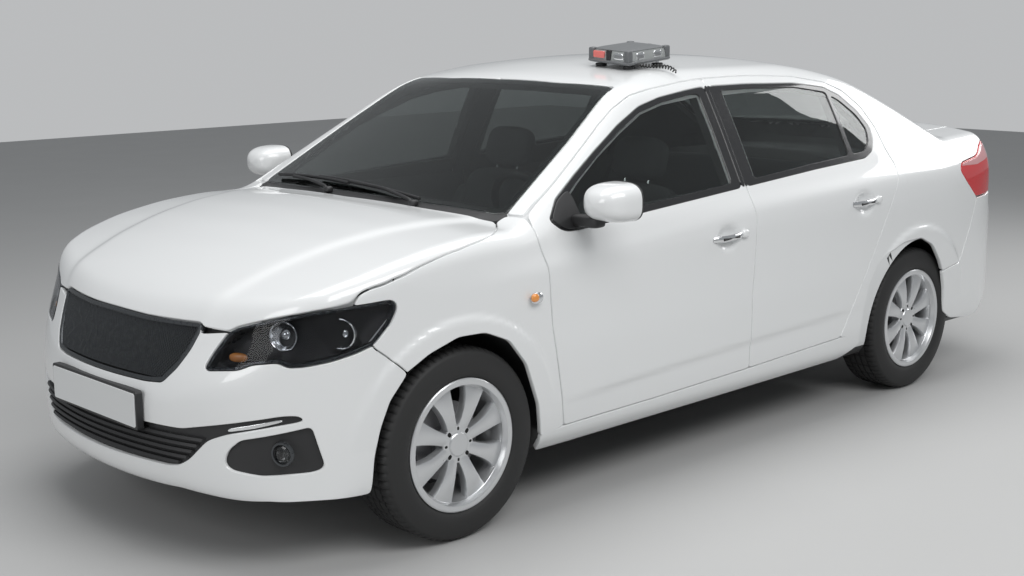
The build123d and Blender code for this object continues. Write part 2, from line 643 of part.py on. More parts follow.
# Doors: zone of the skin, inner body, windows, hinge line, handle centre, name
DOORS = [
    (front_door_zone, FRONT_DOOR_BODY, [FRONT_WINDOW], FRONT_HINGE_X, (108, 822), "front"),
    (
        rear_door_zone, REAR_DOOR_BODY, [REAR_WINDOW, QUARTER_WINDOW], REAR_HINGE_X, (-800, 863),
        "rear",
    ),
]
glass_band = glasshouse(GLASS_DEPTH) - glasshouse(GLASS_DEPTH + GLASS_THICKNESS)
for zone, body, windows, hinge_x, (handle_x, handle_z), name in DOORS:
    body_front = max(x for x, z in body)
    with BuildPart() as sleeves:
        for height in DOOR_HINGE_HEIGHTS:
            with Locations(((hinge_x + body_front) / 2 - 2, DOOR_HINGE_Y, height)):
                Box(hinge_x - body_front + 4, LUG_THICKNESS, SLEEVE_LENGTH)
            with Locations((hinge_x, DOOR_HINGE_Y, height)):
                Cylinder(SLEEVE_RADIUS, SLEEVE_LENGTH)
        for height in DOOR_HINGE_HEIGHTS:
            with Locations((hinge_x, DOOR_HINGE_Y, height)):
                Cylinder(PIN_RADIUS + RUNNING_FIT, 2 * SLEEVE_LENGTH, mode=Mode.SUBTRACT)
    with BuildPart() as handle:
        with Locations((handle_x, 862 + HANDLE_PROUD / 2, handle_z)):
            Box(HANDLE_LENGTH, 12, HANDLE_HEIGHT)
        fillet(handle.edges().filter_by(Axis.Z).group_by(Axis.Y)[-1], radius=5)
        for foot in (-0.5, 0.5):
            with Locations((handle_x + foot * (HANDLE_LENGTH - 30), 850, handle_z)):
                Box(26, 44, HANDLE_HEIGHT - 6)
    with BuildPart() as door:
        add(outer & side_prism(body, 450, WIDE))
        add(cabin.part, mode=Mode.SUBTRACT)
        add(plan_prism(whole_plan(SCREEN_PLAN), 985, 1500, -JAMB_GAP), mode=Mode.SUBTRACT)
        add(skin & zone)
        if name == "rear":
            add(arches, mode=Mode.SUBTRACT)
            add(side_prism(REAR_DOOR_STEP, 450, STEP_DEPTH), mode=Mode.SUBTRACT)
        for window in windows:
            add(side_prism(window, 450, WIDE), mode=Mode.SUBTRACT)
        add(sleeves.part)
        add(handle.part)
    door_main = door.part.solids().sort_by(SortBy.VOLUME)[-1]
    save(Part() + [door_main], f"door_{name}_left")
    save(other_side(door_main), f"door_{name}_right")
    with BuildPart() as glass:
        for window in windows:
            add(glass_band & side_prism(window, 450, WIDE, GLASS_FIT))
    save(glass.part, f"glass_{name}_left")
    save(other_side(glass.part), f"glass_{name}_right")

# Fixed screens
screen_band = glasshouse(0) - glasshouse(SCREEN_THICKNESS)
with BuildPart() as screens:
    add(screen_band & plan_prism(whole_plan(SCREEN_PLAN), 985.5, 1500, GLASS_FIT))
    add(screen_band & plan_prism(whole_plan(REAR_SCREEN_PLAN), 1030.5, 1500, GLASS_FIT))
save(screens.part, "screens")

# Fuel flap with its sleeve and web
with BuildPart() as fuel_flap:
    add(outer & flap_prism(0, 780))
    add(outer.moved(Location((0, -FUEL_FLAP_THICKNESS, 0))), mode=Mode.SUBTRACT)
    web = box(
        (FUEL_HINGE[0] - 2.5, FUEL_HINGE[1], FUEL_FLAP_CENTRE[1] - 8),
        (FUEL_HINGE[0] + 2.5, FUEL_HINGE[1] + 6, FUEL_FLAP_CENTRE[1] + 8),
    )
    add(web & outer)
    add(rod(fuel_low - fuel_axis_dir * 9, fuel_low + fuel_axis_dir * 9, FUEL_SLEEVE_RADIUS))
    fuel_bore = FUEL_PIN_RADIUS + RUNNING_FIT
    add(
        rod(fuel_low - fuel_axis_dir * 30, fuel_low + fuel_axis_dir * 30, fuel_bore),
        mode=Mode.SUBTRACT,
    )
save(fuel_flap.part, "fuel_flap")

# Front grille
GRILLE_RECESS = 5.0
GRILLE_DEPTH = 12.0
GRILLE_ROWS = 9
GRILLE_BAR = 6.0
GRILLE_TOP, GRILLE_LOW = GRILLE_FRONT[0][1], GRILLE_FRONT[1][1]
row_pitch = (GRILLE_TOP - GRILLE_LOW - 24) / GRILLE_ROWS
with BuildPart() as grille:
    add(outer.moved(Location((-GRILLE_RECESS, 0, 0))) & front_prism(GRILLE_FRONT, 1900, 2300, 0.3))
    add(outer.moved(Location((-GRILLE_RECESS - GRILLE_DEPTH, 0, 0))), mode=Mode.SUBTRACT)
    for row in range(GRILLE_ROWS):
        row_z = GRILLE_LOW + 12 + (row + 0.5) * row_pitch
        reach = 300 + (row_z - GRILLE_LOW) * 0.8
        for column in (-1.5, -0.5, 0.5, 1.5):
            with Locations((2150, column * reach / 2, row_z)):
                Box(400, reach / 2 - 8, row_pitch - GRILLE_BAR, mode=Mode.SUBTRACT)
save(grille.part, "grille")

# Number plates on their holders, both blank
PLATE_SIZE = (520.0, 110.0)
HOLDER_MARGIN = 6.0
FRONT_PLATE_Z = 466.0
REAR_PLATE_Z = 872.0
REAR_PLATE_X = TAIL_X + 84.0


def plate(face_x, outward, centre_z):
    """Return a plate on its holder, which reaches inwards to the body surface."""
    with BuildPart() as solid:
        with BuildSketch(Plane.YZ.offset(face_x - outward * (PLATE_THICKNESS + 60))):
            with Locations((0, centre_z)):
                RectangleRounded(PLATE_SIZE[0] + 2 * HOLDER_MARGIN, PLATE_SIZE[1] + 2 * HOLDER_MARGIN, 8)
        extrude(amount=outward * 60)
        with BuildSketch(Plane.YZ.offset(face_x - outward * PLATE_THICKNESS)):
            with Locations((0, centre_z)):
                RectangleRounded(*PLATE_SIZE, 10)
        extrude(amount=outward * PLATE_THICKNESS)
        add(outer, mode=Mode.SUBTRACT)
    return solid.part


save(plate(NOSE_X, 1, FRONT_PLATE_Z), "front_plate")
save(plate(REAR_PLATE_X, -1, REAR_PLATE_Z), "rear_plate")

# Fog lamps in the bumper's side openings, and side lamps on the wings
SIDE_LAMP = ((1091.0, 720.0), (1147.0, 766.0))
with BuildPart() as fog_lamp:
    with Locations((2050, FOG_CENTRE[0], FOG_CENTRE[1])):
        Cylinder(FOG_RADIUS, 200, rotation=(0, 90, 0))
    add(outer.moved(Location((-4, 0, 0))), mode=Mode.INTERSECT)
    add(outer.moved(Location((-14, 0, 0))) & front_prism(FOG_FRONT, 1900, 2300, 0.2))
    add(outer.moved(Location((-27, 0, 0))), mode=Mode.SUBTRACT)
(low_x, low_z), (high_x, high_z) = SIDE_LAMP
with BuildPart() as side_lamp:
    add(box((low_x, 800, low_z), (high_x, 900, high_z)))
    add(outer.moved(Location((0, 3, 0))), mode=Mode.INTERSECT)
    add(outer, mode=Mode.SUBTRACT)
lamps = [fog_lamp.part.solids()[0], side_lamp.part.solids()[0]]
save(Part() + lamps + [other_side(lamp) for lamp in lamps], "fog_and_side_lamps")

# Mirrors
MIRROR_CENTRE = (905.0, 960.0, 1035.0)
MIRROR_SIZE = (110.0, 190.0, 135.0)
MIRROR_CORNER = 45.0
with BuildPart() as mirror_left:
    with BuildSketch(Plane.YZ.offset(MIRROR_CENTRE[0] - MIRROR_SIZE[0] / 2)):
        with Locations(MIRROR_CENTRE[1:]):
            RectangleRounded(MIRROR_SIZE[1], MIRROR_SIZE[2], MIRROR_CORNER)
    extrude(amount=MIRROR_SIZE[0], taper=18)
    add(box((852, 800, 936), (908, 935, 990)))
    add(outer, mode=Mode.SUBTRACT)
save(mirror_left.part, "mirror_left")
save(other_side(mirror_left.part), "mirror_right")

# Wipers: pivot, middle and tip of each blade, lying on the windscreen
WIPERS = [
    [(1150, 330, 998), (1126, 0, 1024), (1100, -330, 1026)],
    [(1155, -150, 1004), (1122, -400, 1009), (1078, -610, 1008)],
]
with BuildPart() as wipers:
    for pivot, middle, tip in WIPERS:
        add(rod(pivot, middle, 5))
        add(rod(middle, tip, 5))
        with Locations(middle):
            Sphere(5)
        add(rod((pivot[0], pivot[1], 960), (pivot[0], pivot[1], pivot[2] + 2), 6))
    add(outer, mode=Mode.SUBTRACT)
save(wipers.part, "wipers")

# Wheels: sections as radius and distance outwards along the axle
BEAD_FIT = 0.1
TYRE_SECTION = [
    (BEAD_RADIUS + BEAD_FIT, -BEAD_HALF + BEAD_FIT), (FLANGE_RADIUS + 2, -BEAD_HALF + BEAD_FIT),
    (245, -TYRE_WIDTH / 2), (285, -TYRE_WIDTH / 2), (303, -84), (TYRE_RADIUS, -66),
    (TYRE_RADIUS, 66), (303, 84), (285, TYRE_WIDTH / 2), (245, TYRE_WIDTH / 2),
    (FLANGE_RADIUS + 2, BEAD_HALF - BEAD_FIT), (BEAD_RADIUS + BEAD_FIT, BEAD_HALF - BEAD_FIT),
]
BARREL_SECTION = [
    (190, -BEAD_HALF - FLANGE_WIDTH), (FLANGE_RADIUS, -BEAD_HALF - FLANGE_WIDTH),
    (FLANGE_RADIUS, -BEAD_HALF), (BEAD_RADIUS, -BEAD_HALF), (BEAD_RADIUS, BEAD_HALF),
    (FLANGE_RADIUS, BEAD_HALF), (FLANGE_RADIUS, BEAD_HALF + FLANGE_WIDTH),
    (197, BEAD_HALF + FLANGE_WIDTH), (190, 60),
]
DISC_SECTION = [(0, 46), (75, 46), (193, 60), (193, 76), (80, 68), (34, 62), (0, 62)]
WHEEL_WINDOW = [(84, -12), (104, -26), (184, -37), (184, 37), (104, 26), (84, 12)]
HUB_RADIUS = 62.0


def turned(points):
    """Turn a section of radius and distance about the Z axis."""
    with BuildPart() as solid:
        with BuildSketch(Plane.XZ):
            add(flat(points))
        revolve(axis=Axis.Z)
    return solid.part


def rim(brake_radius, brake_low, brake_high, hub_low):
    """Return a rim at the origin, its outer face towards +Z, with its brake disc or drum."""
    with BuildPart() as wheel:
        add(turned(DISC_SECTION))
        with BuildSketch():
            with PolarLocations(0, 8):
                add(flat(WHEEL_WINDOW))
        extrude(amount=100, mode=Mode.SUBTRACT)
        add(turned(BARREL_SECTION))
        with Locations((0, 0, (hub_low + 50) / 2)):
            Cylinder(HUB_RADIUS, 50 - hub_low)
        with Locations((0, 0, (brake_low + brake_high) / 2)):
            Cylinder(brake_radius, brake_high - brake_low)
        with Locations((0, 0, hub_low)):
            Cylinder(SPINDLE_RADIUS + RUNNING_FIT, 2 * (50 - hub_low), mode=Mode.SUBTRACT)
    return wheel.part


WHEELS = [
    ("front", FRONT_AXLE_X, FRONT_TRACK / 2, rim(128.0, -12.0, 10.0, -15.0)),
    ("rear", REAR_AXLE_X, REAR_TRACK / 2, rim(112.0, -30.0, 20.0, -30.0)),
]
tyre = turned(TYRE_SECTION)
for end, axle_x, wheel_y, rim_part in WHEELS:
    place = Plane(origin=(axle_x, wheel_y, TYRE_RADIUS), x_dir=(1, 0, 0), z_dir=(0, 1, 0)).location
    for piece, name in ((tyre.moved(place), "tyre"), (rim_part.moved(place), "rim")):
        save(piece, f"{name}_{end}_left")
        save(other_side(piece), f"{name}_{end}_right")

# Front suspension: knuckle with its strut, and the fixed crossmember with its arms
with BuildPart() as knuckle:
    wheel_y = FRONT_TRACK / 2
    hub = (FRONT_AXLE_X, wheel_y + 44, TYRE_RADIUS)
    add(rod((FRONT_AXLE_X, 690, TYRE_RADIUS), hub, SPINDLE_RADIUS))
    add(rod((FRONT_AXLE_X, 672, TYRE_RADIUS), (FRONT_AXLE_X, wheel_y - 21, TYRE_RADIUS), 46))
    add(box((FRONT_AXLE_X - 32, 674, 222), (FRONT_AXLE_X + 32, 712, 440)))
    add(box((FRONT_AXLE_X - 24, 590, 396), (FRONT_AXLE_X + 24, 712, 440)))
    add(rod((FRONT_AXLE_X, 606, 380), TOP_MOUNT - STEER_AXIS * 8, 25))
    add(rod(BALL_JOINT - STEER_AXIS * 16, BALL_JOINT + STEER_AXIS * 34, BALL_PIN_RADIUS))
    add(rod(BALL_JOINT + STEER_AXIS * 17, BALL_JOINT + STEER_AXIS * 60, 18))
    add(rod(TOP_MOUNT - STEER_AXIS * 10, TOP_MOUNT + STEER_AXIS * 60, TOP_PIN_RADIUS))
save(knuckle.part, "knuckle_left")
save(other_side(knuckle.part), "knuckle_right")

ARM_PLAN = [(1345, 395), (1490, 395), (1437, 705), (1393, 705)]
boss = rod(BALL_JOINT - STEER_AXIS * 12, BALL_JOINT + STEER_AXIS * 12, 22)
ball_bore = rod(
    BALL_JOINT - STEER_AXIS * 60, BALL_JOINT + STEER_AXIS * 60, BALL_PIN_RADIUS + RUNNING_FIT
)
with BuildPart() as front_axle:
    add(box((1330, -400, 150), (1500, 400, SHELL_BOTTOM + 5)))
    add(outer, mode=Mode.SUBTRACT)
    add(both_sides(plan_prism(ARM_PLAN, 160, 182)))
    add(both_sides(box((1393, 520, 160), (1437, 705, 200))))
    add(both_sides(boss))
    add(both_sides(ball_bore), mode=Mode.SUBTRACT)
save(front_axle.part, "front_axle")

# Rear axle beam with its arms and spindles
with BuildPart() as rear_half:
    wheel_y = REAR_TRACK / 2
    add(box((REAR_AXLE_X - 40, 515, 275), (AXLE_RECESS[1][0], 555, 328)))
    add(rod((REAR_AXLE_X, 562, TYRE_RADIUS), (REAR_AXLE_X, wheel_y - 36, TYRE_RADIUS), 34))
    spindle_end = (REAR_AXLE_X, wheel_y + 44, TYRE_RADIUS)
    add(rod((REAR_AXLE_X, 540, TYRE_RADIUS), spindle_end, SPINDLE_RADIUS))
with BuildPart() as rear_axle:
    add(box((-1170, -520, 262), (-1100, 520, 312)))
    add(both_sides(rear_half.part))
save(rear_axle.part, "rear_axle")

# Engine block and exhaust
with BuildPart() as engine:
    with BuildSketch(Plane.XY.offset(BAY_FLOOR)):
        with Locations((1600, -30)):
            RectangleRounded(430, 700, 40)
    extrude(amount=540)
save(engine.part, "engine_block")
with BuildPart() as exhaust:
    add(rod((1290, 120, 165), (-700, 120, 165), 24))
    add(rod((-700, 120, 165), (-1560, 360, 165), 24))
    with Locations((-700, 120, 165)):
        Sphere(24)
    add(box((-2000, 200, 150), (-1540, 480, 260)))
    add(box((300, 50, 145), (800, 190, 240)))
    add(rod((-1950, 430, 186), (-2150, 430, 186), 24))
    add(outer, mode=Mode.SUBTRACT)
save(exhaust.part, "exhaust")

# Cabin furniture: outlines as x, z
SEAT_SIDE = [
    (210, FLOOR_Z), (560, FLOOR_Z), (610, 300), (640, 430), (620, 480), (300, 430), (180, 700),
    (110, 960), (60, 965), (20, 930), (90, 560), (150, 330),
]
SEAT_Y = 365.0
with BuildPart() as seats:
    for side in (1, -1):
        add(side_prism(SEAT_SIDE, side * SEAT_Y - 255, side * SEAT_Y + 255))
        add(side_prism([(10, 985), (90, 965), (110, 1120), (70, 1150), (30, 1130)],
                       side * SEAT_Y - 130, side * SEAT_Y + 130))
        for post in (-70, 70):
            add(rod((62, side * SEAT_Y + post, 900), (62, side * SEAT_Y + post, 1040), 7))
save(seats.part, "front_seats")

BENCH_SIDE = [
    (-520, FLOOR_Z), (-500, 330), (-520, 455), (-600, 480), (-900, 430), (-960, 560),
    (-1060, 930), (-1110, 960), (-1160, 955), (-1140, 830), (-1070, 420), (-1070, 350),
    (-852, 350), (-782, FLOOR_Z),
]
with BuildPart() as bench:
    add(side_prism(BENCH_SIDE, -640, 640))
    add(wheel_wells(ARCH_RADIUS, HOUSE_WALL + 4), mode=Mode.SUBTRACT)
save(Part() + [bench.part.solids().sort_by(SortBy.VOLUME)[-1]], "rear_bench")

DASH_SIDE = [
    (1130, 700), (1130, 875), (1060, 932), (1000, 956), (900, 962), (780, 930), (760, 880), (800, 780),
    (860, 640), (960, 600),
]
dashboard = side_prism(DASH_SIDE, -705, 705)
save(dashboard, "dashboard")

WHEEL_TILT = Vector(-0.90, 0, 0.44).normalized()
STEERING_HUB = Vector(640, SEAT_Y, 905)
steering_plane = Plane(origin=STEERING_HUB, x_dir=(0, 1, 0), z_dir=WHEEL_TILT)
with BuildPart() as steering_wheel:
    with Locations(steering_plane.location):
        Torus(176, 14)
    with BuildSketch(steering_plane.offset(-14)):
        Rectangle(340, 36)
        with Locations((0, 85)):
            Rectangle(36, 170)
        Circle(60)
    extrude(amount=18)
    add(rod(STEERING_HUB - WHEEL_TILT * 5, STEERING_HUB - WHEEL_TILT * 178, 28))
    add(dashboard, mode=Mode.SUBTRACT)
save(steering_wheel.part, "steering_wheel")

# Roof beacon on its magnet feet
BEACON_PLACE = Plane(origin=(90, 345, 1452), x_dir=(1, 0, -0.08), z_dir=(0.08, 0.073, 1.0))
with BuildPart() as beacon:
    with BuildSketch(BEACON_PLACE):
        RectangleRounded(236, 206, 30)
    extrude(amount=18)
    with BuildSketch(BEACON_PLACE.offset(18)):
        RectangleRounded(222, 192, 28)
    extrude(amount=46, taper=14)
    with BuildSketch(BEACON_PLACE):
        with GridLocations(150, 130, 2, 2):
            Circle(22)
    extrude(amount=-40)
    cord_start = Vector(*CORD_POINTS[0])
    cord_way = (Vector(*CORD_POINTS[1]) - cord_start).normalized()
    add(rod(cord_start - cord_way * 30, cord_start, GROMMET_RADIUS))
    add(outer, mode=Mode.SUBTRACT)
save(beacon.part, "beacon")

with BuildPart() as cord:
    with BuildLine() as route:
        FilletPolyline(*CORD_POINTS, radius=25)
    with BuildSketch(Plane(origin=cord_start, z_dir=cord_way)):
        Circle(CORD_RADIUS)
    sweep(path=route.wires()[0])
save(cord.part, "beacon_cord")
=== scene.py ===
"""Looks of an unmarked white police saloon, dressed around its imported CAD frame.

All lengths are metres in the row frame: +X to the nose, +Y to the car's left, +Z up.
"""
import logging
import math
from dataclasses import dataclass, field
from enum import Enum
from typing import Optional, Sequence

import bmesh
import bpy
import numpy as np
from mathutils import Matrix, Vector
from mathutils.geometry import delaunay_2d_cdt


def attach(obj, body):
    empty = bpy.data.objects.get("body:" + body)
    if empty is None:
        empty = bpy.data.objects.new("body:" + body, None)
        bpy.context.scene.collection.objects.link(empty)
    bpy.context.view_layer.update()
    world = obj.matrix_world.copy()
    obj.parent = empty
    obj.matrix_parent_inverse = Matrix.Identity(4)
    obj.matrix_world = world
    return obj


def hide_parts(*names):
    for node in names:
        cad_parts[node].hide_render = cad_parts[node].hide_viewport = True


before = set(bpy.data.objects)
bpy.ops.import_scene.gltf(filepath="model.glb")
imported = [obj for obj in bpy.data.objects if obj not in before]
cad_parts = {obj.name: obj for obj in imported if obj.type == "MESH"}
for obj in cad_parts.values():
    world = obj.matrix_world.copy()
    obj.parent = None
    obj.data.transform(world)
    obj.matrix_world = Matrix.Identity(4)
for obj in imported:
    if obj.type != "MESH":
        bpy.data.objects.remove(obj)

LOG = logging.getLogger("saloon")
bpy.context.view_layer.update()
MM = 0.001
Array = np.ndarray
Points = Sequence[Sequence[float]]
Faces = list[list[int]]
Mesh = tuple[Array, Faces]
ROOTS = ("root", "root")
FRONT_DOORS = ("door_front_left", "door_front_right")
REAR_DOORS = ("door_rear_left", "door_rear_right")
NO_NODES = ((), ())
POLE = 0.0001


class Side(Enum):
    """A side of the car, with the sign of its Y."""

    LEFT = 1
    RIGHT = -1

    @property
    def word(self) -> str:
        """Return the side's word in the names of pieces."""
        return self.name.lower()


# Shape of the body

def soft_max(a: Array, b: Array, radius: float) -> Array:
    """Return the larger of two fields, with the edge between them rounded."""
    return np.maximum(a, b) + np.maximum(radius - np.abs(a - b), 0.0) ** 2 / (4.0 * radius)


def soft_min(a: Array, b: Array, radius: float) -> Array:
    """Return the smaller of two fields, with the corner between them filled."""
    return -soft_max(-a, -b, radius)


def resample(points: Points, step: float, closed: bool = False) -> Array:
    """Place points at an even step along a polyline.

    Args:
        points: corners of the line, in any number of dimensions.
        step: distance between the new points.
        closed: whether the last corner joins the first.

    Returns:
        The evenly spaced points.
    """
    p = np.asarray(points, float)
    if closed:
        p = np.vstack([p, p[:1]])
    s = np.r_[0.0, np.cumsum(np.linalg.norm(np.diff(p, axis=0), axis=1))]
    t = np.linspace(0.0, s[-1], max(int(round(s[-1] / step)), 4) + 1)
    out = np.stack([np.interp(t, s, p[:, k]) for k in range(p.shape[1])], axis=1)
    return out[:-1] if closed else out


def blurred(p: Array, count: int, closed: bool) -> Array:
    """Round a line's corners by two running means over 2 * count + 1 points.

    Args:
        p: points of the line.
        count: points taken on each side of a point.
        closed: whether the last point joins the first.

    Returns:
        As many points, on the rounded line.
    """
    count = max(int(count), 1)
    for _ in range(2):
        if closed:
            pad = np.vstack([p[-count:], p, p[:count]])
        else:
            pad = np.vstack([2 * p[0] - p[count:0:-1], p, 2 * p[-1] - p[-2:-count - 2:-1]])
        total = np.cumsum(np.vstack([np.zeros((1, p.shape[1])), pad]), axis=0)
        p = (total[2 * count + 1:] - total[:-2 * count - 1]) / (2 * count + 1)
    return p


class Profile:
    """A rounded polyline read as a function, in metres."""

    STEP = 0.003

    def __init__(self, points_mm: Points, blur: float) -> None:
        """Round the polyline over a length.

        Args:
            points_mm: its corners, in millimetres.
            blur: length that a corner is rounded over, in metres.
        """
        p = resample(np.asarray(points_mm, float) * MM, self.STEP)
        p = blurred(p, int(blur / self.STEP / 2), False)
        p = p[np.argsort(p[:, 0])]
        self.x, self.y = p[:, 0], p[:, 1]

    def __call__(self, x: Array) -> Array:
        """Return the height of the profile at x."""
        return np.interp(x, self.x, self.y)


BODY_TOP = Profile([
    (-2900, 1108), (-2035, 1108), (-1940, 1112), (-1560, 1096), (-1180, 1052), (1160, 1000),
    (1300, 1003), (1480, 988), (1660, 956), (1840, 905), (2000, 838), (2090, 775), (2150, 700),
    (2600, 540)], 0.10)
ROOF = Profile([
    (-3000, 457), (-1640, 1096), (-1180, 1312), (-990, 1388), (-830, 1424), (-620, 1452),
    (-400, 1464), (-200, 1466), (0, 1460), (200, 1442), (380, 1412), (459, 1392), (1175, 992),
    (2600, 196)], 0.14)
PLAN = Profile([
    (-2900, 60), (-2221, 420), (-2140, 600), (-2085, 700), (-1990, 780), (-1800, 836),
    (-1500, 866), (-1100, 874), (1200, 874), (1450, 868), (1690, 838), (1850, 795), (2000, 700),
    (2088, 614), (2143, 500), (2230, 250), (2500, -400)], 0.16)
FLANK = Profile([
    (100, 700), (190, 785), (245, 835), (350, 858), (560, 874), (700, 869), (800, 861),
    (925, 838), (965, 820), (1000, 805), (1200, 705), (1358, 620), (1418, 545), (1456, 290),
    (1480, 100), (1700, -1500)], 0.05)
NOSE_RIM = Profile([
    (-200, 1900), (190, 2120), (235, 2200), (330, 2212), (500, 2212), (575, 2190), (680, 2146),
    (745, 2122), (1200, 2122), (1600, 2122)], 0.06)
TAIL_RIM = Profile([
    (-200, -1850), (190, -2010), (262, -2082), (335, -2168), (400, -2204), (560, -2221), (690, -2207),
    (745, -2146), (900, -2116), (1040, -2071), (1112, -2053), (1200, -2053), (1600, -2040)], 0.04)
CREASE = Profile([
    (-2600, 985), (-1524, 952), (-1047, 943), (-678, 923), (-62, 893), (597, 851), (905, 835),
    (1055, 822), (1176, 814), (1500, 800), (2600, 760)], 0.3)
BONNET_CREASE = Profile([(900, 640), (1100, 625), (2100, 430), (2400, 380)], 0.1)
LOW_CREASE = Profile([(-2600, 520), (-747, 425), (377, 390), (974, 365), (2600, 330)], 0.3)
ARCH_CENTRES = ((1.421, 0.3105), (-1.225, 0.3105))
HANDLES = ((0.108, 0.822), (-0.800, 0.863))
NOSE_AXIS = 0.462
TAIL_AXIS = -0.321
RIDGE_HEIGHT, RIDGE_ABOVE, RIDGE_BELOW = 0.008, 0.045, 0.11
WAIST_DEPTH, WAIST_FADE = 0.007, 0.12
FLARE_HEIGHT, FLARE_RADIUS = 0.011, 0.410
CUP_DEPTH, CUP_LENGTH, CUP_HEIGHT = 0.017, 0.056, 0.040
BONNET_STEP, UNDERSIDE = 0.010, 0.195
ROOF_CROWN, LOW_CROWN = 3.3, 8.0


def sigmoid(t: Array) -> Array:
    """Return a smooth step from 0 to 1."""
    return 0.5 + 0.5 * np.tanh(t)


def body_field(p: Array) -> Array:
    """Return about how far points lie outside the painted body, below zero inside it.

    The body is top AND side AND nose AND tail, each a field that is zero on its surface, and
    top is the lower body OR the glasshouse, both crowned by y * y / 2R.

    Args:
        p: points, with x, y and z on the last axis.

    Returns:
        The field at each point.
    """
    x, y, z = p[..., 0], np.abs(p[..., 1]), p[..., 2]
    in_bonnet = sigmoid((x - 1.06) / 0.05)
    outside_crease = sigmoid((y - BONNET_CREASE(x)) / 0.022)
    low = z - BODY_TOP(x) + y ** 2 / (2 * (LOW_CROWN + z)) + BONNET_STEP * in_bonnet * outside_crease
    low = low / np.sqrt(1 + np.interp(x, [1.2, 2.2], [0.01, 0.35]))
    slope = np.where(x > 0.42, 0.5587, np.where(x < -1.1, 0.47, 0.1))
    high = (z - ROOF(x) + y ** 2 / (2 * (ROOF_CROWN + z))) / np.sqrt(1 + slope ** 2)
    top = soft_min(low, high, 0.03)
    side = soft_max(y - PLAN(x), y - FLANK(z), 0.05)
    d = z - CREASE(x)
    fade = np.clip((1.36 - x) / 0.25, 0, 1)
    ridge = RIDGE_HEIGHT * np.exp(-(d / np.where(d > 0, RIDGE_ABOVE, RIDGE_BELOW)) ** 2) * fade
    low_d = LOW_CREASE(x) - z
    between = np.clip((1.05 - x) / 0.3, 0, 1) * np.clip((x + 0.85) / 0.3, 0, 1)
    waist = WAIST_DEPTH * np.exp(-(np.maximum(low_d, 0) / WAIST_FADE) ** 2) * between
    waist = waist * sigmoid(low_d / 0.012)
    flare = 0.0
    for arch_x, arch_z in ARCH_CENTRES:
        r = np.hypot(x - arch_x, z - arch_z)
        edge = sigmoid((FLARE_RADIUS - r) / 0.009)
        flare = flare + FLARE_HEIGHT * edge * np.clip((z - 0.36) / 0.25, 0, 1)
    dent = 0.0
    for handle_x, handle_z in HANDLES:
        r2 = ((x - handle_x - 0.004) / CUP_LENGTH) ** 2 + ((z - handle_z) / CUP_HEIGHT) ** 2
        dent = dent + CUP_DEPTH * np.exp(-r2 ** 2)
    side = side - ridge + waist - flare + dent
    nose = np.hypot(np.maximum(x - NOSE_AXIS, 0), y) - (NOSE_RIM(z) - NOSE_AXIS)
    tail = np.hypot(np.maximum(TAIL_AXIS - x, 0), y) - (TAIL_AXIS - TAIL_RIM(z))
    field_now = soft_max(soft_max(top, side, 0.055), nose, 0.06)
    return soft_max(soft_max(field_now, tail, 0.05), UNDERSIDE - z, 0.02)


def outward(p: Array) -> Array:
    """Return the unit normals of the body field at points."""
    steps = np.eye(3) * 5e-4
    g = np.stack([body_field(p + e) - body_field(p - e) for e in steps], axis=-1)
    return g / np.maximum(np.linalg.norm(g, axis=-1, keepdims=True), 1e-9)


def march(start: Array, way: Array, far: float, samples: int = 140) -> Array:
    """Follow rays to the body's surface.

    Args:
        start: first point of each ray, outside the body.
        way: unit direction of each ray.
        far: length of the rays.
        samples: steps tried before the last bisection.

    Returns:
        The first point of each ray on the surface.
    """
    t = np.linspace(0.0, far, samples)
    inside = body_field(start[:, None] + t[None, :, None] * way[:, None]) < 0
    first = np.clip(np.argmax(inside, axis=1), 1, samples - 1)
    a, b = t[first - 1], t[first]
    for _ in range(22):
        middle = (a + b) / 2
        within = body_field(start + middle[:, None] * way) < 0
        a, b = np.where(within, a, middle), np.where(within, middle, b)
    return start + a[:, None] * way


@dataclass(frozen=True)
class Flat:
    """A chart that looks at the body along one direction."""

    way: tuple[float, float, float]

    def _axes(self) -> tuple[Array, Array, Array]:
        """Return the chart's two axes and its direction towards the viewer."""
        d = np.asarray(self.way, float)
        d = d / np.linalg.norm(d)
        e1 = np.array([1.0, 0.0, 0.0]) if abs(d[0]) < 0.7 else np.array([0.0, 1.0, 0.0])
        e1 = e1 - d * (e1 @ d)
        e1 = e1 / np.linalg.norm(e1)
        return e1, np.cross(d, e1), d

    def flatten(self, p: Array) -> Array:
        """Return the chart coordinates of points."""
        e1, e2, _ = self._axes()
        return np.stack([p @ e1, p @ e2], axis=-1)

    def lift(self, uv: Array) -> Array:
        """Return the points of the body that chart coordinates stand for."""
        e1, e2, d = self._axes()
        start = uv[:, :1] * e1 + uv[:, 1:] * e2 + 3.2 * d
        return march(start, np.repeat(-d[None], len(uv), axis=0), 4.4)


@dataclass(frozen=True)
class Round:
    """A chart that looks at an end of the body from all round an upright axis."""

    axis_x: float
    forward: float
    scale: float = 0.75

    def flatten(self, p: Array) -> Array:
        """Return the chart coordinates of points."""
        angle = np.arctan2(p[..., 1], self.forward * (p[..., 0] - self.axis_x))
        return np.stack([angle * self.scale, p[..., 2]], axis=-1)

    def lift(self, uv: Array) -> Array:
        """Return the points of the body that chart coordinates stand for."""
        angle = uv[:, 0] / self.scale
        way = np.stack([self.forward * np.cos(angle), np.sin(angle), np.zeros(len(uv))], axis=-1)
        foot = np.stack([np.full(len(uv), self.axis_x), np.zeros(len(uv)), uv[:, 1]], axis=-1)
        return march(foot + 1.6 * way, -way, 1.6)


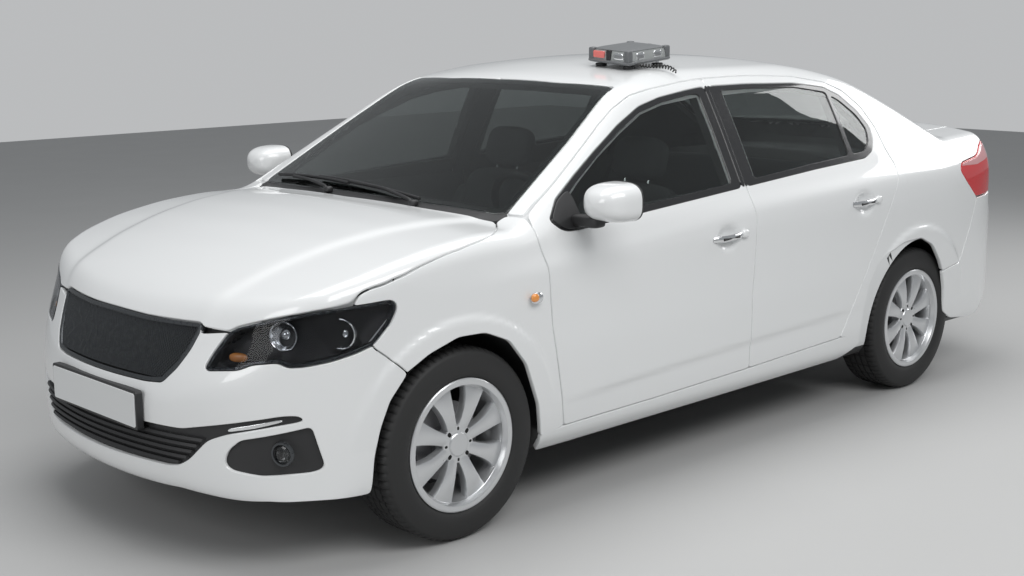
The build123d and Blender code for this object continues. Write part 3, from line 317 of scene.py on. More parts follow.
Chart = Flat | Round
SIDE, TOP = Flat((0, 1, 0.05)), Flat((0, 0, 1))
DIAGONAL, FORWARD_TOP = Flat((0, 1, 0.9)), Flat((0.45, 0, 1))
REAR_TOP, LAMP_VIEW = Flat((-0.85, 0, 0.85)), Flat((0.75, 0.8, 0.15))
FRONT_ROUND, REAR_ROUND = Round(1.5, 1.0), Round(-1.5, -1.0)


def drawn(points_mm: Points, fine: bool) -> Array:
    """Return a line in metres, with points every 15 mm where it is to be fine."""
    p = np.asarray(points_mm, float) * MM
    return resample(p, 0.015) if fine and len(p) > 1 else p


def on_side(points_mm: Points, fine: bool = True) -> Array:
    """Return the body's left-hand points at the given x and z."""
    p = drawn(points_mm, fine)
    start = np.stack([p[:, 0], np.full(len(p), 1.2), p[:, 1]], axis=-1)
    return march(start, np.repeat([[0.0, -1.0, 0.0]], len(p), axis=0), 1.2)


def on_top(points_mm: Points, fine: bool = True) -> Array:
    """Return the body's upper points at the given x and y."""
    p = drawn(points_mm, fine)
    start = np.stack([p[:, 0], p[:, 1], np.full(len(p), 1.7)], axis=-1)
    return march(start, np.repeat([[0.0, 0.0, -1.0]], len(p), axis=0), 1.5)


def on_end(points_mm: Points, forward: float = 1.0, fine: bool = True) -> Array:
    """Return the points of the nose, or with forward -1 of the tail, at the given y and z."""
    p = drawn(points_mm, fine)
    start = np.stack([np.full(len(p), 2.5 * forward), p[:, 0], p[:, 1]], axis=-1)
    return march(start, np.repeat([[-forward, 0.0, 0.0]], len(p), axis=0), 2.4)


def near(points_mm: Points) -> Array:
    """Return points given in millimetres, which lie on the body already."""
    return np.asarray(points_mm, float) * MM


def both_halves(half: Array) -> Array:
    """Close a left-hand line, from the middle of the car and back to it, with its mirror."""
    return np.vstack([half, half[::-1] * (1, -1, 1)])


# Meshes

def add_object(name: str, verts: Array, faces: Sequence[Sequence[int]], finish: "Finish",
               normals: Optional[Array] = None, sharp: float = 0.6) -> bpy.types.Object:
    """Make an object at the origin from points and faces.

    Args:
        name: name of the piece.
        verts: points in the row frame.
        faces: corner numbers of each face.
        finish: what the piece is made of.
        normals: a normal for each point, or None to work them out.
        sharp: angle in radians above which an edge stays sharp.

    Returns:
        The new object.
    """
    mesh = bpy.data.meshes.new(name)
    mesh.from_pydata(np.asarray(verts).tolist(), [], [list(f) for f in faces])
    mesh.polygons.foreach_set("use_smooth", [True] * len(mesh.polygons))
    if normals is None:
        shell = bmesh.new()
        shell.from_mesh(mesh)
        bmesh.ops.remove_doubles(shell, verts=shell.verts, dist=1e-5)
        bmesh.ops.recalc_face_normals(shell, faces=shell.faces)
        shell.to_mesh(mesh)
        shell.free()
        mesh.set_sharp_from_angle(angle=sharp)
    mesh.update()
    if normals is not None:
        mesh.normals_split_custom_set_from_vertices(np.asarray(normals).tolist())
    obj = bpy.data.objects.new(name, mesh)
    bpy.context.scene.collection.objects.link(obj)
    obj.data.materials.append(finish.material())
    return obj


def settle(obj: bpy.types.Object, body: str, slot: str, *nodes: str) -> bpy.types.Object:
    """Fasten a piece to its body.

    Args:
        obj: the piece.
        body: name of the body that it rides on.
        slot: name of its material slot; not used.
        nodes: the CAD nodes that it stands for.

    Returns:
        The same piece.
    """
    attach(obj, body)
    if nodes:
        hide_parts(*nodes)
    LOG.info("%s on %s: %d faces", obj.name, body, len(obj.data.polygons))
    return obj


def in_loop(uv: Array, loop: Array) -> Array:
    """Tell which points lie inside a closed loop, by counting crossings of a level ray.

    Args:
        uv: flat points.
        loop: corners of the loop.

    Returns:
        True for each point inside.
    """
    a, b = loop, np.roll(loop, -1, axis=0)
    result = np.zeros(len(uv), bool)
    for lo in range(0, len(uv), 4000):
        x, y = uv[lo:lo + 4000, None, 0], uv[lo:lo + 4000, None, 1]
        crosses = (a[:, 1] > y) != (b[:, 1] > y)
        with np.errstate(divide="ignore", invalid="ignore"):
            at = (b[:, 0] - a[:, 0]) * (y - a[:, 1]) / (b[:, 1] - a[:, 1]) + a[:, 0]
        result[lo:lo + 4000] = (np.sum(crosses & (x < at), axis=1) % 2).astype(bool)
    return result


def nearest(uv: Array, marks: Array) -> Array:
    """Measure how far points lie from the nearest of some marks.

    Args:
        uv: flat points.
        marks: flat points to measure to.

    Returns:
        The least distance of each point.
    """
    out = np.empty(len(uv))
    for lo in range(0, len(uv), 2000):
        out[lo:lo + 2000] = np.sqrt(np.min(np.sum(
            (uv[lo:lo + 2000, None] - marks[None]) ** 2, axis=-1), axis=1))
    return out


def rounded_loop(points: Array, chart: Chart, corner: float, step: float) -> Array:
    """Lay a closed line on the body, flatten it and round its corners.

    Each Newton step moves a point along the normal by the field's value there.

    Args:
        points: corners of the line, near the body.
        chart: chart that it is flattened in.
        corner: length that its corners are rounded over.
        step: distance between its points.

    Returns:
        The line in chart coordinates, anticlockwise.
    """
    ring = resample(points, step, True)
    for _ in range(4):
        ring = ring - outward(ring) * body_field(ring)[:, None]
    loop = blurred(chart.flatten(ring), max(int(corner / step), 1), True)
    a, b = loop, np.roll(loop, -1, axis=0)
    area = np.sum(a[:, 0] * b[:, 1] - b[:, 0] * a[:, 1])
    return loop if area > 0 else loop[::-1]


def inset(loop: Array, amount: float) -> Array:
    """Move an anticlockwise loop inwards, each point square to its neighbours' chord.

    Args:
        loop: points of the loop.
        amount: distance to move, outwards where it is negative.

    Returns:
        The moved loop.
    """
    way = np.roll(loop, -1, axis=0) - np.roll(loop, 1, axis=0)
    way = way / np.maximum(np.linalg.norm(way, axis=1, keepdims=True), 1e-9)
    return loop + amount * np.stack([-way[:, 1], way[:, 0]], axis=1)


@dataclass
class Panel:
    """A sheet that follows the body, with rolled edges and holes.

    The outline and holes are closed lines of body points. Gap is drawn in from the outline,
    depth is how far the sheet lies below the body's surface, and flange is how deep its edge
    turns in. Dense gives centres and radii, in chart coordinates, that need a finer mesh.
    """

    name: str
    chart: Chart
    outline: Array
    finish: "Finish"
    holes: list[Array] = field(default_factory=list)
    gap: float = 0.002
    hole_gap: float = 0.002
    depth: float = 0.0
    thickness: float = 0.003
    flange: float = 0.014
    roll: float = 0.0025
    corner: float = 0.012
    spacing: float = 0.016
    edge_step: float = 0.008
    dense: list[tuple[float, float, float]] = field(default_factory=list)

    def _grid(self, loops: list[Array]) -> Array:
        """Fill the sheet with rows of points, set off by half a step from row to row.

        Args:
            loops: the outline, then the holes.

        Returns:
            The inner points, clear of the edges.
        """
        low, high = loops[0].min(axis=0), loops[0].max(axis=0)
        rows = np.arange(low[1], high[1], self.spacing * 0.87)
        grid = []
        for k, v in enumerate(rows):
            u = np.arange(low[0] + (k % 2) * self.spacing / 2, high[0], self.spacing)
            grid.append(np.stack([u, np.full(len(u), v)], axis=1))
        points = np.vstack(grid)
        for u, v, radius in self.dense:
            points = points[np.hypot(points[:, 0] - u, points[:, 1] - v) > radius]
            fine = np.arange(-radius, radius, 0.006)
            gu, gv = np.meshgrid(fine, fine)
            disc = np.stack([gu.ravel() + u, gv.ravel() + v], axis=1)
            points = np.vstack([points, disc[np.hypot(gu, gv).ravel() < radius]])
        keep = in_loop(points, loops[0])
        for hole in loops[1:]:
            keep &= ~in_loop(points, hole)
        points = points[keep]
        return points[nearest(points, np.vstack(loops)) > self.spacing * 0.42]

    def build(self) -> bpy.types.Object:
        """Return the left-hand or middle sheet as an object."""
        verts, faces, normals = self.arrays()
        return add_object(self.name, verts, faces, self.finish, normals)

    def arrays(self) -> tuple[Array, Faces, Array]:
        """Work out the closed sheet: its top, its underside and the walls between them.

        Returns:
            The points, faces and normals.
        """
        outer = rounded_loop(self.outline, self.chart, self.corner, self.edge_step)
        loops = [inset(outer, self.gap)]
        rings = [inset(outer, self.gap + self.roll)]
        for hole in self.holes:
            ring = rounded_loop(hole, self.chart, self.corner, self.edge_step)
            loops.append(inset(ring, -self.hole_gap))
            rings.append(inset(ring, -self.hole_gap - self.roll))
        grid = self._grid(rings)
        uv, edges, start = [], [], 0
        for loop in loops + rings:
            n = len(loop)
            edges += [(start + k, start + (k + 1) % n) for k in range(n)]
            uv.append(loop)
            start += n
        rim = sum(len(loop) for loop in loops)
        flat = np.vstack(uv + [grid])
        out = delaunay_2d_cdt([Vector(p) for p in flat.tolist()], edges, [], 0, 1e-7)
        where = np.array([list(v) for v in out[0]])
        source = np.array([ids[0] if ids else -1 for ids in out[3]])
        tri = np.array(out[2])
        middle = where[tri].mean(axis=1)
        keep = in_loop(middle, loops[0])
        for loop in loops[1:]:
            keep &= ~in_loop(middle, loop)
        tri = tri[keep]
        turn = np.cross(where[tri[:, 1]] - where[tri[:, 0]], where[tri[:, 2]] - where[tri[:, 0]])
        tri = np.where(turn[:, None] > 0, tri, tri[:, ::-1])
        surface = self.chart.lift(where)
        normal = outward(surface)
        face_way = np.cross(surface[tri[:, 1]] - surface[tri[:, 0]],
                            surface[tri[:, 2]] - surface[tri[:, 0]])
        if np.sum(np.sum(face_way * normal[tri[:, 0]], axis=1)) < 0:
            tri = tri[:, ::-1]
        place = np.full(len(flat), -1)
        place[source[source >= 0]] = np.flatnonzero(source >= 0)
        edge_of = place[:rim]
        partner = place[rim:2 * rim]
        top = surface - normal * self.depth
        bottom = top - normal * self.thickness
        top_n, bottom_n = normal.copy(), -normal
        sideways = surface[edge_of] - surface[partner]
        sideways /= np.maximum(np.linalg.norm(sideways, axis=1, keepdims=True), 1e-9)
        top[edge_of] -= normal[edge_of] * self.roll
        bottom[edge_of] -= normal[edge_of] * self.flange
        blend = sideways * 0.85 + normal[edge_of] * 0.5
        top_n[edge_of] = blend / np.linalg.norm(blend, axis=1, keepdims=True)
        bottom_n[edge_of] = sideways
        count = len(top)
        faces = tri.tolist() + (tri[:, ::-1] + count).tolist()
        directed = {(f[k], f[(k + 1) % 3]) for f in tri.tolist() for k in range(3)}
        begin = 0
        for loop in loops:
            ids = edge_of[begin:begin + len(loop)].tolist()
            begin += len(loop)
            for a, b in zip(ids, ids[1:] + ids[:1]):
                if (a, b) in directed:
                    faces.append([a, a + count, b + count, b])
                elif (b, a) in directed:
                    faces.append([b, b + count, a + count, a])
        used, faces = compact(faces)
        return np.vstack([top, bottom])[used], faces, np.vstack([top_n, bottom_n])[used]


def compact(faces: Faces) -> tuple[Array, Faces]:
    """Number the points that faces use from 0.

    Args:
        faces: corner numbers of each face.

    Returns:
        The old numbers of the points in use, and the faces with new numbers.
    """
    used = np.unique(np.concatenate([np.asarray(f) for f in faces]))
    renumber = {old: new for new, old in enumerate(used.tolist())}
    return used, [[renumber[k] for k in f] for f in faces]


def twin(name: str, verts: Array, faces: Sequence[Sequence[int]], finish: "Finish",
         normals: Optional[Array] = None) -> bpy.types.Object:
    """Make the right-hand mirror image of a left-hand mesh.

    Args:
        name: name of the piece.
        verts: points of the left-hand mesh.
        faces: corner numbers of its faces.
        finish: what the piece is made of.
        normals: a normal for each point, or None to work them out.

    Returns:
        The new object.
    """
    flip = np.array([1.0, -1.0, 1.0])
    return add_object(name, np.asarray(verts) * flip, [list(f)[::-1] for f in faces], finish,
                      None if normals is None else normals * flip)


def both_sides(name: str, mesh: Mesh, finish: "Finish", bodies: tuple[str, str], slot: str,
               nodes: tuple[Sequence[str], Sequence[str]] = NO_NODES,
               normals: Optional[Array] = None) -> None:
    """Make a left-hand piece and its twin, each on its own body.

    Args:
        name: name of the pieces, without the side.
        mesh: points and faces of the left-hand piece.
        finish: what the pieces are made of.
        bodies: the left-hand and the right-hand body.
        slot: name of their material slot.
        nodes: the CAD nodes that each of them stands for.
        normals: a normal for each point, or None to work them out.
    """
    settle(add_object(f"{name}_left", *mesh, finish, normals), bodies[0], slot, *nodes[0])
    settle(twin(f"{name}_right", *mesh, finish, normals), bodies[1], slot, *nodes[1])


def pair(panel: Panel, bodies: tuple[str, str], slot: str,
         nodes: tuple[Sequence[str], Sequence[str]] = NO_NODES) -> None:
    """Make a left-hand sheet and its twin, each on its own body.

    Args:
        panel: the left-hand sheet.
        bodies: the left-hand and the right-hand body.
        slot: name of their material slot.
        nodes: the CAD nodes that each of them stands for.
    """
    verts, faces, normals = panel.arrays()
    both_sides(panel.name, (verts, faces), panel.finish, bodies, slot, nodes, normals)


def lone(panel: Panel, body: str, slot: str, *nodes: str) -> bpy.types.Object:
    """Make one sheet across the car."""
    return settle(panel.build(), body, slot, *nodes)


# Finishes

@dataclass(frozen=True)
class Finish:
    """A procedural material."""

    name: str
    color: tuple[float, float, float]
    roughness: float = 0.5
    metallic: float = 0.0
    coat: float = 0.0
    transmission: float = 0.0
    ior: float = 1.5
    mottle: float = 0.04
    grain: float = 60.0
    bump: float = 0.0
    emission: float = 0.0
    alpha: float = 1.0

    def material(self) -> bpy.types.Material:
        """Return the material, made on its first use."""
        found = bpy.data.materials.get(self.name)
        if found:
            return found
        made = bpy.data.materials.new(self.name)
        made.use_nodes = True
        tree = made.node_tree
        shader = next(n for n in tree.nodes if n.type == "BSDF_PRINCIPLED")
        values = {
            "Base Color": (*self.color, 1.0), "Roughness": self.roughness,
            "Metallic": self.metallic, "Coat Weight": self.coat, "Coat Roughness": 0.03,
            "Transmission Weight": self.transmission, "IOR": self.ior, "Alpha": self.alpha,
            "Emission Color": (*self.color, 1.0), "Emission Strength": self.emission,
        }
        for key, value in values.items():
            shader.inputs[key].default_value = value
        place = tree.nodes.new("ShaderNodeTexCoord")
        noise = tree.nodes.new("ShaderNodeTexNoise")
        noise.inputs["Scale"].default_value = self.grain
        noise.inputs["Detail"].default_value = 3.0
        tree.links.new(place.outputs["Object"], noise.inputs["Vector"])
        ramp = tree.nodes.new("ShaderNodeMapRange")
        ramp.inputs["To Min"].default_value = max(self.roughness - self.mottle, 0.0)
        ramp.inputs["To Max"].default_value = min(self.roughness + self.mottle, 1.0)
        tree.links.new(noise.outputs["Fac"], ramp.inputs["Value"])
        tree.links.new(ramp.outputs["Result"], shader.inputs["Roughness"])
        if self.bump:
            relief = tree.nodes.new("ShaderNodeBump")
            relief.inputs["Strength"].default_value = self.bump
            relief.inputs["Distance"].default_value = 0.0006
            tree.links.new(noise.outputs["Fac"], relief.inputs["Height"])
            tree.links.new(relief.outputs["Normal"], shader.inputs["Normal"])
        return made


PAINT = Finish("paint_white", (0.78, 0.79, 0.79), 0.32, coat=1.0, mottle=0.03, grain=4.0)
JAMB = Finish("paint_jamb", (0.70, 0.71, 0.71), 0.45, mottle=0.05, grain=8.0)
TRIM = Finish("cabin_trim", (0.20, 0.20, 0.205), 0.75, mottle=0.06, bump=0.3, grain=600.0)
GLASS = Finish("glass_tinted", (0.40, 0.43, 0.42), 0.0, transmission=1.0, mottle=0.004, ior=1.45)
CLEAR = Finish("lens_clear", (0.80, 0.82, 0.83), 0.0, transmission=1.0, mottle=0.01, ior=1.45)
SMOKED = Finish("lens_smoked", (0.62, 0.63, 0.65), 0.0, transmission=1.0, mottle=0.01, ior=1.18)
RED = Finish("lens_red", (0.62, 0.025, 0.03), 0.08, coat=1.0, mottle=0.02, ior=1.45)
ROSE = Finish("lens_rose", (0.62, 0.30, 0.31), 0.06, coat=1.0, mottle=0.02)
AMBER = Finish("lens_amber", (0.80, 0.30, 0.06), 0.12, coat=1.0, mottle=0.02)
CHROME = Finish("chrome", (0.83, 0.84, 0.85), 0.08, metallic=1.0, mottle=0.03)
REFLECTOR = Finish("reflector", (0.86, 0.87, 0.88), 0.15, metallic=1.0, mottle=0.04)
SMOKE = Finish("lamp_housing", (0.035, 0.037, 0.040), 0.35, metallic=0.2, mottle=0.05)
BLACK = Finish("plastic_black", (0.022, 0.022, 0.023), 0.45, mottle=0.08, bump=0.3, grain=900.0)
GLOSS = Finish("gloss_black", (0.012, 0.012, 0.013), 0.12, coat=0.6, mottle=0.04)
SATIN = Finish("satin_dark", (0.07, 0.075, 0.08), 0.28, metallic=0.6, mottle=0.05)
# Near-black finish used as painted shade for openings that show only darkness: behind the grille and in
# the hub slots.
PAINTED_SHADE = Finish("painted_shade_depth", (0.006, 0.006, 0.006), 0.9, mottle=0.05)
STEEL = Finish("steel_dark", (0.05, 0.05, 0.052), 0.55, metallic=0.3, mottle=0.1)
CAST = Finish("cast_metal", (0.36, 0.36, 0.37), 0.55, metallic=0.8, mottle=0.1, bump=0.4, grain=300.0)
PIPE = Finish("pipe_steel", (0.35, 0.33, 0.31), 0.42, metallic=0.9, mottle=0.12)
ALLOY = Finish("alloy_silver", (0.66, 0.67, 0.68), 0.30, metallic=0.75, coat=0.7, mottle=0.05)
RUBBER = Finish("tyre_rubber_black", (0.018, 0.018, 0.018), 0.62, mottle=0.1, bump=0.3, grain=500.0)
CLOTH = Finish("cloth_grey", (0.16, 0.165, 0.17), 0.9, mottle=0.05, bump=0.9, grain=1400.0)
DASH = Finish("dash_dark", (0.045, 0.046, 0.048), 0.6, mottle=0.08, bump=0.5, grain=700.0)
PLATE = Finish("plate_blank", (0.66, 0.67, 0.67), 0.35, mottle=0.05)
BEACON_GREY = Finish("beacon_frame", (0.13, 0.135, 0.14), 0.35, mottle=0.06)
BEACON_LENS = Finish("beacon_lens_clear", (0.66, 0.69, 0.68), 0.12, transmission=0.55, coat=0.6,
                     mottle=0.03)
BEACON_RED = Finish("beacon_lens_red", (0.78, 0.20, 0.18), 0.15, coat=0.8, mottle=0.03)
FLOOR = Finish("floor_pale", (0.47, 0.47, 0.465), 0.55, mottle=0.08, grain=2.0)


# Lines on the body, in millimetres

DOOR_FRONT_TOP = [(1058, 992), (1005, 1024), (919, 1072), (735, 1178), (600, 1256), (509, 1304),
                  (400, 1345), (284, 1362), (76, 1381), (-46, 1388)]
DOOR_FRONT_LEADING = [(960, 280), (1032, 626), (1042, 726), (1050, 829), (1075, 911), (1074, 960)]
DOOR_GAP = [(-46, 1388), (-50, 1050), (-57, 939), (-66, 880), (-52, 701), (-38, 582), (-44, 451),
            (-54, 298)]
DOOR_REAR_TOP = [(-46, 1388), (-300, 1390), (-600, 1378), (-800, 1348), (-905, 1308), (-990, 1240),
                 (-1040, 1150), (-1056, 1060)]
DOOR_REAR_BACK = [(-1056, 1060), (-1081, 996), (-1071, 950), (-1004, 852), (-900, 700), (-761, 496),
                  (-660, 318)]
SILL_GAP = [(960, 280), (500, 285), (-54, 298), (-660, 318)]
ARCH_FRONT = [(1755, 225), (1747, 338), (1727, 429), (1697, 508), (1645, 584), (1561, 630),
              (1448, 665), (1339, 662), (1238, 620), (1159, 528), (1093, 380), (1069, 262)]
ARCH_REAR = [(-807, 300), (-812, 400), (-843, 516), (-892, 585), (-970, 635), (-1087, 668),
             (-1224, 671), (-1323, 628), (-1396, 544), (-1464, 407), (-1480, 304)]
DLO_FRONT = [(1000, 975), (965, 945), (930, 934), (835, 936), (528, 959), (-28, 992), (-28, 1359),
             (80, 1350), (250, 1331), (379, 1305), (524, 1249), (680, 1174), (812, 1105), (935, 1036)]
DLO_REAR = [(-66, 994), (-516, 1020), (-889, 1037), (-960, 1062), (-994, 1104), (-1003, 1150),
            (-954, 1223), (-873, 1290), (-784, 1326), (-594, 1350), (-295, 1359), (-66, 1359)]
GLASS_FRONT = [(880, 985), (835, 962), (528, 981), (20, 1012), (20, 1336), (80, 1334), (250, 1314),
               (379, 1288), (524, 1231), (680, 1156), (812, 1086), (880, 1046)]
GLASS_REAR = [(-120, 1018), (-516, 1043), (-790, 1057), (-790, 1306), (-594, 1334), (-295, 1343),
              (-120, 1342)]
GLASS_QUARTER = [(-815, 1059), (-900, 1064), (-955, 1098), (-975, 1148), (-936, 1210), (-862, 1268),
                 (-815, 1291)]
SCREEN_EDGE = [(452, 0), (440, 300), (395, 545), (720, 625), (1078, 688)]
REAR_SCREEN_BACK = [(-1618, 0), (-1605, 300), (-1560, 545), (-1490, 598)]
REAR_SCREEN_FRONT = [(-1490, 598), (-985, 530), (-1000, 300), (-1002, 0)]
LID_EDGE = [(-2075, 566), (-1850, 566), (-1646, 562), (-1652, 300), (-1656, 0)]
BUMPER_REAR_SIDE = [(-1425, 500), (-1480, 508), (-1590, 522), (-1690, 690), (-1738, 796)]
LAMP = [(2079, 490, 667), (2047, 521, 725), (2033, 547, 741), (1923, 735, 792), (1803, 805, 805),
        (1685, 832, 811), (1664, 835, 800), (1665, 835, 778), (1688, 833, 739), (1736, 824, 686),
        (1791, 809, 666), (1866, 779, 647), (1934, 740, 636), (1974, 709, 635), (1983, 699, 643),
        (1992, 687, 650), (2039, 624, 642), (2055, 601, 630), (2067, 581, 623), (2105, 483, 612),
        (2105, 473, 619)]
BONNET_SIDE = [(1781, 809), (1700, 825), (1624, 831), (1523, 829), (1400, 823), (1300, 811),
               (1230, 790), (1165, 737), (1128, 690)]
GRILLE_TOP = [(0, 734), (164, 733), (250, 735), (415, 740)]
GRILLE_SIDE = [(421, 728), (401, 662), (370, 606), (326, 559)]
GRILLE_FOOT = [(250, 553), (0, 552)]
INTAKE = [(0, 430), (272, 428), (416, 430), (564, 461), (703, 491), (728, 489), (739, 474), (705, 466),
          (563, 431), (505, 408), (440, 342), (400, 318), (351, 309), (143, 305), (0, 304)]
FOG_POD = [(747, 454), (766, 327), (750, 318), (653, 311), (571, 325), (557, 345), (570, 382),
           (607, 416)]
TAIL_LAMP_SIDE = [(-1738, 801), (-1632, 885), (-1580, 932), (-1604, 966), (-1745, 984)]
TAIL_LAMP_END = [(492, 984), (492, 812)]


@dataclass
class Bodywork:
    """Painted panels of the car, as rolled sheets over the smooth body."""

    spacing: float = 0.016
    flap_center: tuple[float, float] = (-1200.0, 900.0)
    flap_half: tuple[float, float] = (75.0, 73.0)

    def flap_line(self, grow: float) -> Array:
        """Return the fuel flap's outline on the body, drawn out by grow millimetres."""
        cx, cz = self.flap_center
        hx, hz = self.flap_half[0] + grow, self.flap_half[1] + grow
        return on_side([(cx - hx, cz - hz), (cx + hx, cz - hz), (cx + hx, cz + hz), (cx - hx, cz + hz)])

    def doors(self) -> None:
        """Make the door skins with their window openings."""
        front = Panel("door_front_skin", SIDE, on_side(
            DOOR_FRONT_LEADING + DOOR_FRONT_TOP + DOOR_GAP[1:] + SILL_GAP[1:2]), PAINT,
            holes=[on_side(DLO_FRONT)], dense=[(0.112, 0.822, 0.085)], spacing=self.spacing)
        rear = Panel("door_rear_skin", SIDE, on_side(
            DOOR_GAP[::-1] + DOOR_REAR_TOP[1:] + DOOR_REAR_BACK[1:] + SILL_GAP[2:3]), PAINT,
            holes=[on_side(DLO_REAR)], dense=[(-0.796, 0.863, 0.085)], spacing=self.spacing)
        for panel, bodies in ((front, FRONT_DOORS), (rear, REAR_DOORS)):
            pair(panel, bodies, "white_paint")

    def shell(self) -> None:
        """Make each half of the roof, pillars and quarter as one sheet, and the sills."""
        start = np.vstack([
            on_top(SCREEN_EDGE), on_side(DOOR_FRONT_TOP), on_side(DOOR_REAR_TOP[1:]),
            on_side(DOOR_REAR_BACK[1:]), on_side(ARCH_REAR[:-2]), on_side(BUMPER_REAR_SIDE),
            on_side(TAIL_LAMP_SIDE), on_end(TAIL_LAMP_END[:1], -1.0), on_top(LID_EDGE),
            on_top(REAR_SCREEN_BACK), on_top(REAR_SCREEN_FRONT),
            on_top([(x, 0) for x in range(-960, 440, 60)])])
        panel = Panel("roof_and_quarter", DIAGONAL, start, PAINT, gap=0.0015, corner=0.010,
                      spacing=self.spacing)
        verts, faces, normals = panel.arrays()
        seam = np.abs(verts[:, 1]) < 0.008
        upper = seam & (body_field(verts) > -0.006)
        verts[seam, 1] = 0.0
        verts[upper] = on_top(verts[upper][:, :2] / MM, fine=False)
        normals[upper] = outward(verts[upper])
        both_sides("roof_and_quarter", (verts, faces), PAINT, ROOTS, "white_paint",
                   normals=normals)
        sill = on_side(SILL_GAP + [(-807, 322), (-812, 262), (-700, 214), (0, 206), (900, 200),
                                   (1064, 204), (1069, 262), (1066, 276)])
        pair(Panel("sill", SIDE, sill, PAINT, spacing=self.spacing), ROOTS,
             "white_paint")
        pair(Panel("fuel_flap_skin", SIDE, self.flap_line(0), PAINT, corner=0.02, gap=0.001,
                   depth=-0.0006), ("fuel_flap", "root"), "white_paint", (("fuel_flap",), ()))

    def wings(self) -> None:
        """Make the front wings."""
        bonnet_side = on_top(BONNET_SIDE)
        line = np.vstack([
            bonnet_side, on_top([(1088, 690)]), on_side([(1066, 985)]),
            on_side(DOOR_FRONT_LEADING[::-1]), on_side([(968, 277)]), on_side(ARCH_FRONT[::-1][:-4]),
            near([(1638, 851, 584), (1700, 838, 640), (1750, 821, 679)]), near(LAMP[8:3:-1])])
        pair(Panel("front_wing_skin", Flat((0, 1, 0.55)), line, PAINT, spacing=self.spacing),
             ROOTS, "white_paint", (("front_wings",), ()))

    def lids(self) -> None:
        """Make the bonnet and the boot lid."""
        half = np.vstack([on_end(GRILLE_TOP), on_end(GRILLE_SIDE[:1]), near(LAMP[1:5]),
                          on_top(BONNET_SIDE), on_top([(1146, 590), (1176, 400), (1204, 0)])])
        lone(Panel("bonnet_skin", FORWARD_TOP, both_halves(half), PAINT,
                   spacing=self.spacing), "bonnet", "white_paint")
        half = np.vstack([on_top(LID_EDGE[::-1][:3]), on_top([(-1850, 566), (-2040, 566)]),
                          on_end([(565, 996), (480, 992), (478, 758), (0, 756)], -1.0)])
        lone(Panel("boot_lid_skin", REAR_TOP, both_halves(half), PAINT, spacing=self.spacing),
             "boot_lid", "white_paint")

    def bumpers(self) -> None:
        """Make both bumpers."""
        lamp_foot = near(LAMP[:1] + LAMP[:7:-1])
        half = np.vstack([
            on_end(GRILLE_FOOT[::-1]), on_end(GRILLE_SIDE[::-1]), near([(2081, 419, 711)]),
            near(LAMP[1:2]), lamp_foot, near([(1750, 821, 679), (1700, 838, 640), (1638, 851, 584)]),
            on_side(ARCH_FRONT[3::-1]),
            near([(1830, 790, 226), (1900, 761, 228), (2024, 665, 230), (2106, 506, 230),
                  (2150, 385, 232), (2180, 0, 234)])])
        holes = [on_end(INTAKE + [(-y, z) for y, z in INTAKE[-2:0:-1]]), on_end(FOG_POD),
                 on_end([(-y, z) for y, z in FOG_POD])]
        lone(Panel("front_bumper_skin", FRONT_ROUND, both_halves(half), PAINT, holes=holes,
                   spacing=self.spacing, corner=0.010), "root", "white_paint", "front_bumper")
        half = np.vstack([
            on_end([(0, 750), (478, 752), (492, 806)], -1.0), on_side(BUMPER_REAR_SIDE[::-1]),
            on_side(ARCH_REAR[-2:]),
            on_side([(-1560, 262), (-1742, 238), (-1928, 250)]),
            on_end([(640, 262), (400, 258), (0, 256)], -1.0)])
        lone(Panel("rear_bumper_skin", REAR_ROUND, both_halves(half), PAINT,
                   spacing=self.spacing), "root", "white_paint", "rear_bumper")

    def build(self) -> None:
        """Make all painted panels."""
        self.doors()
        self.shell()
        self.wings()
        self.lids()
        self.bumpers()


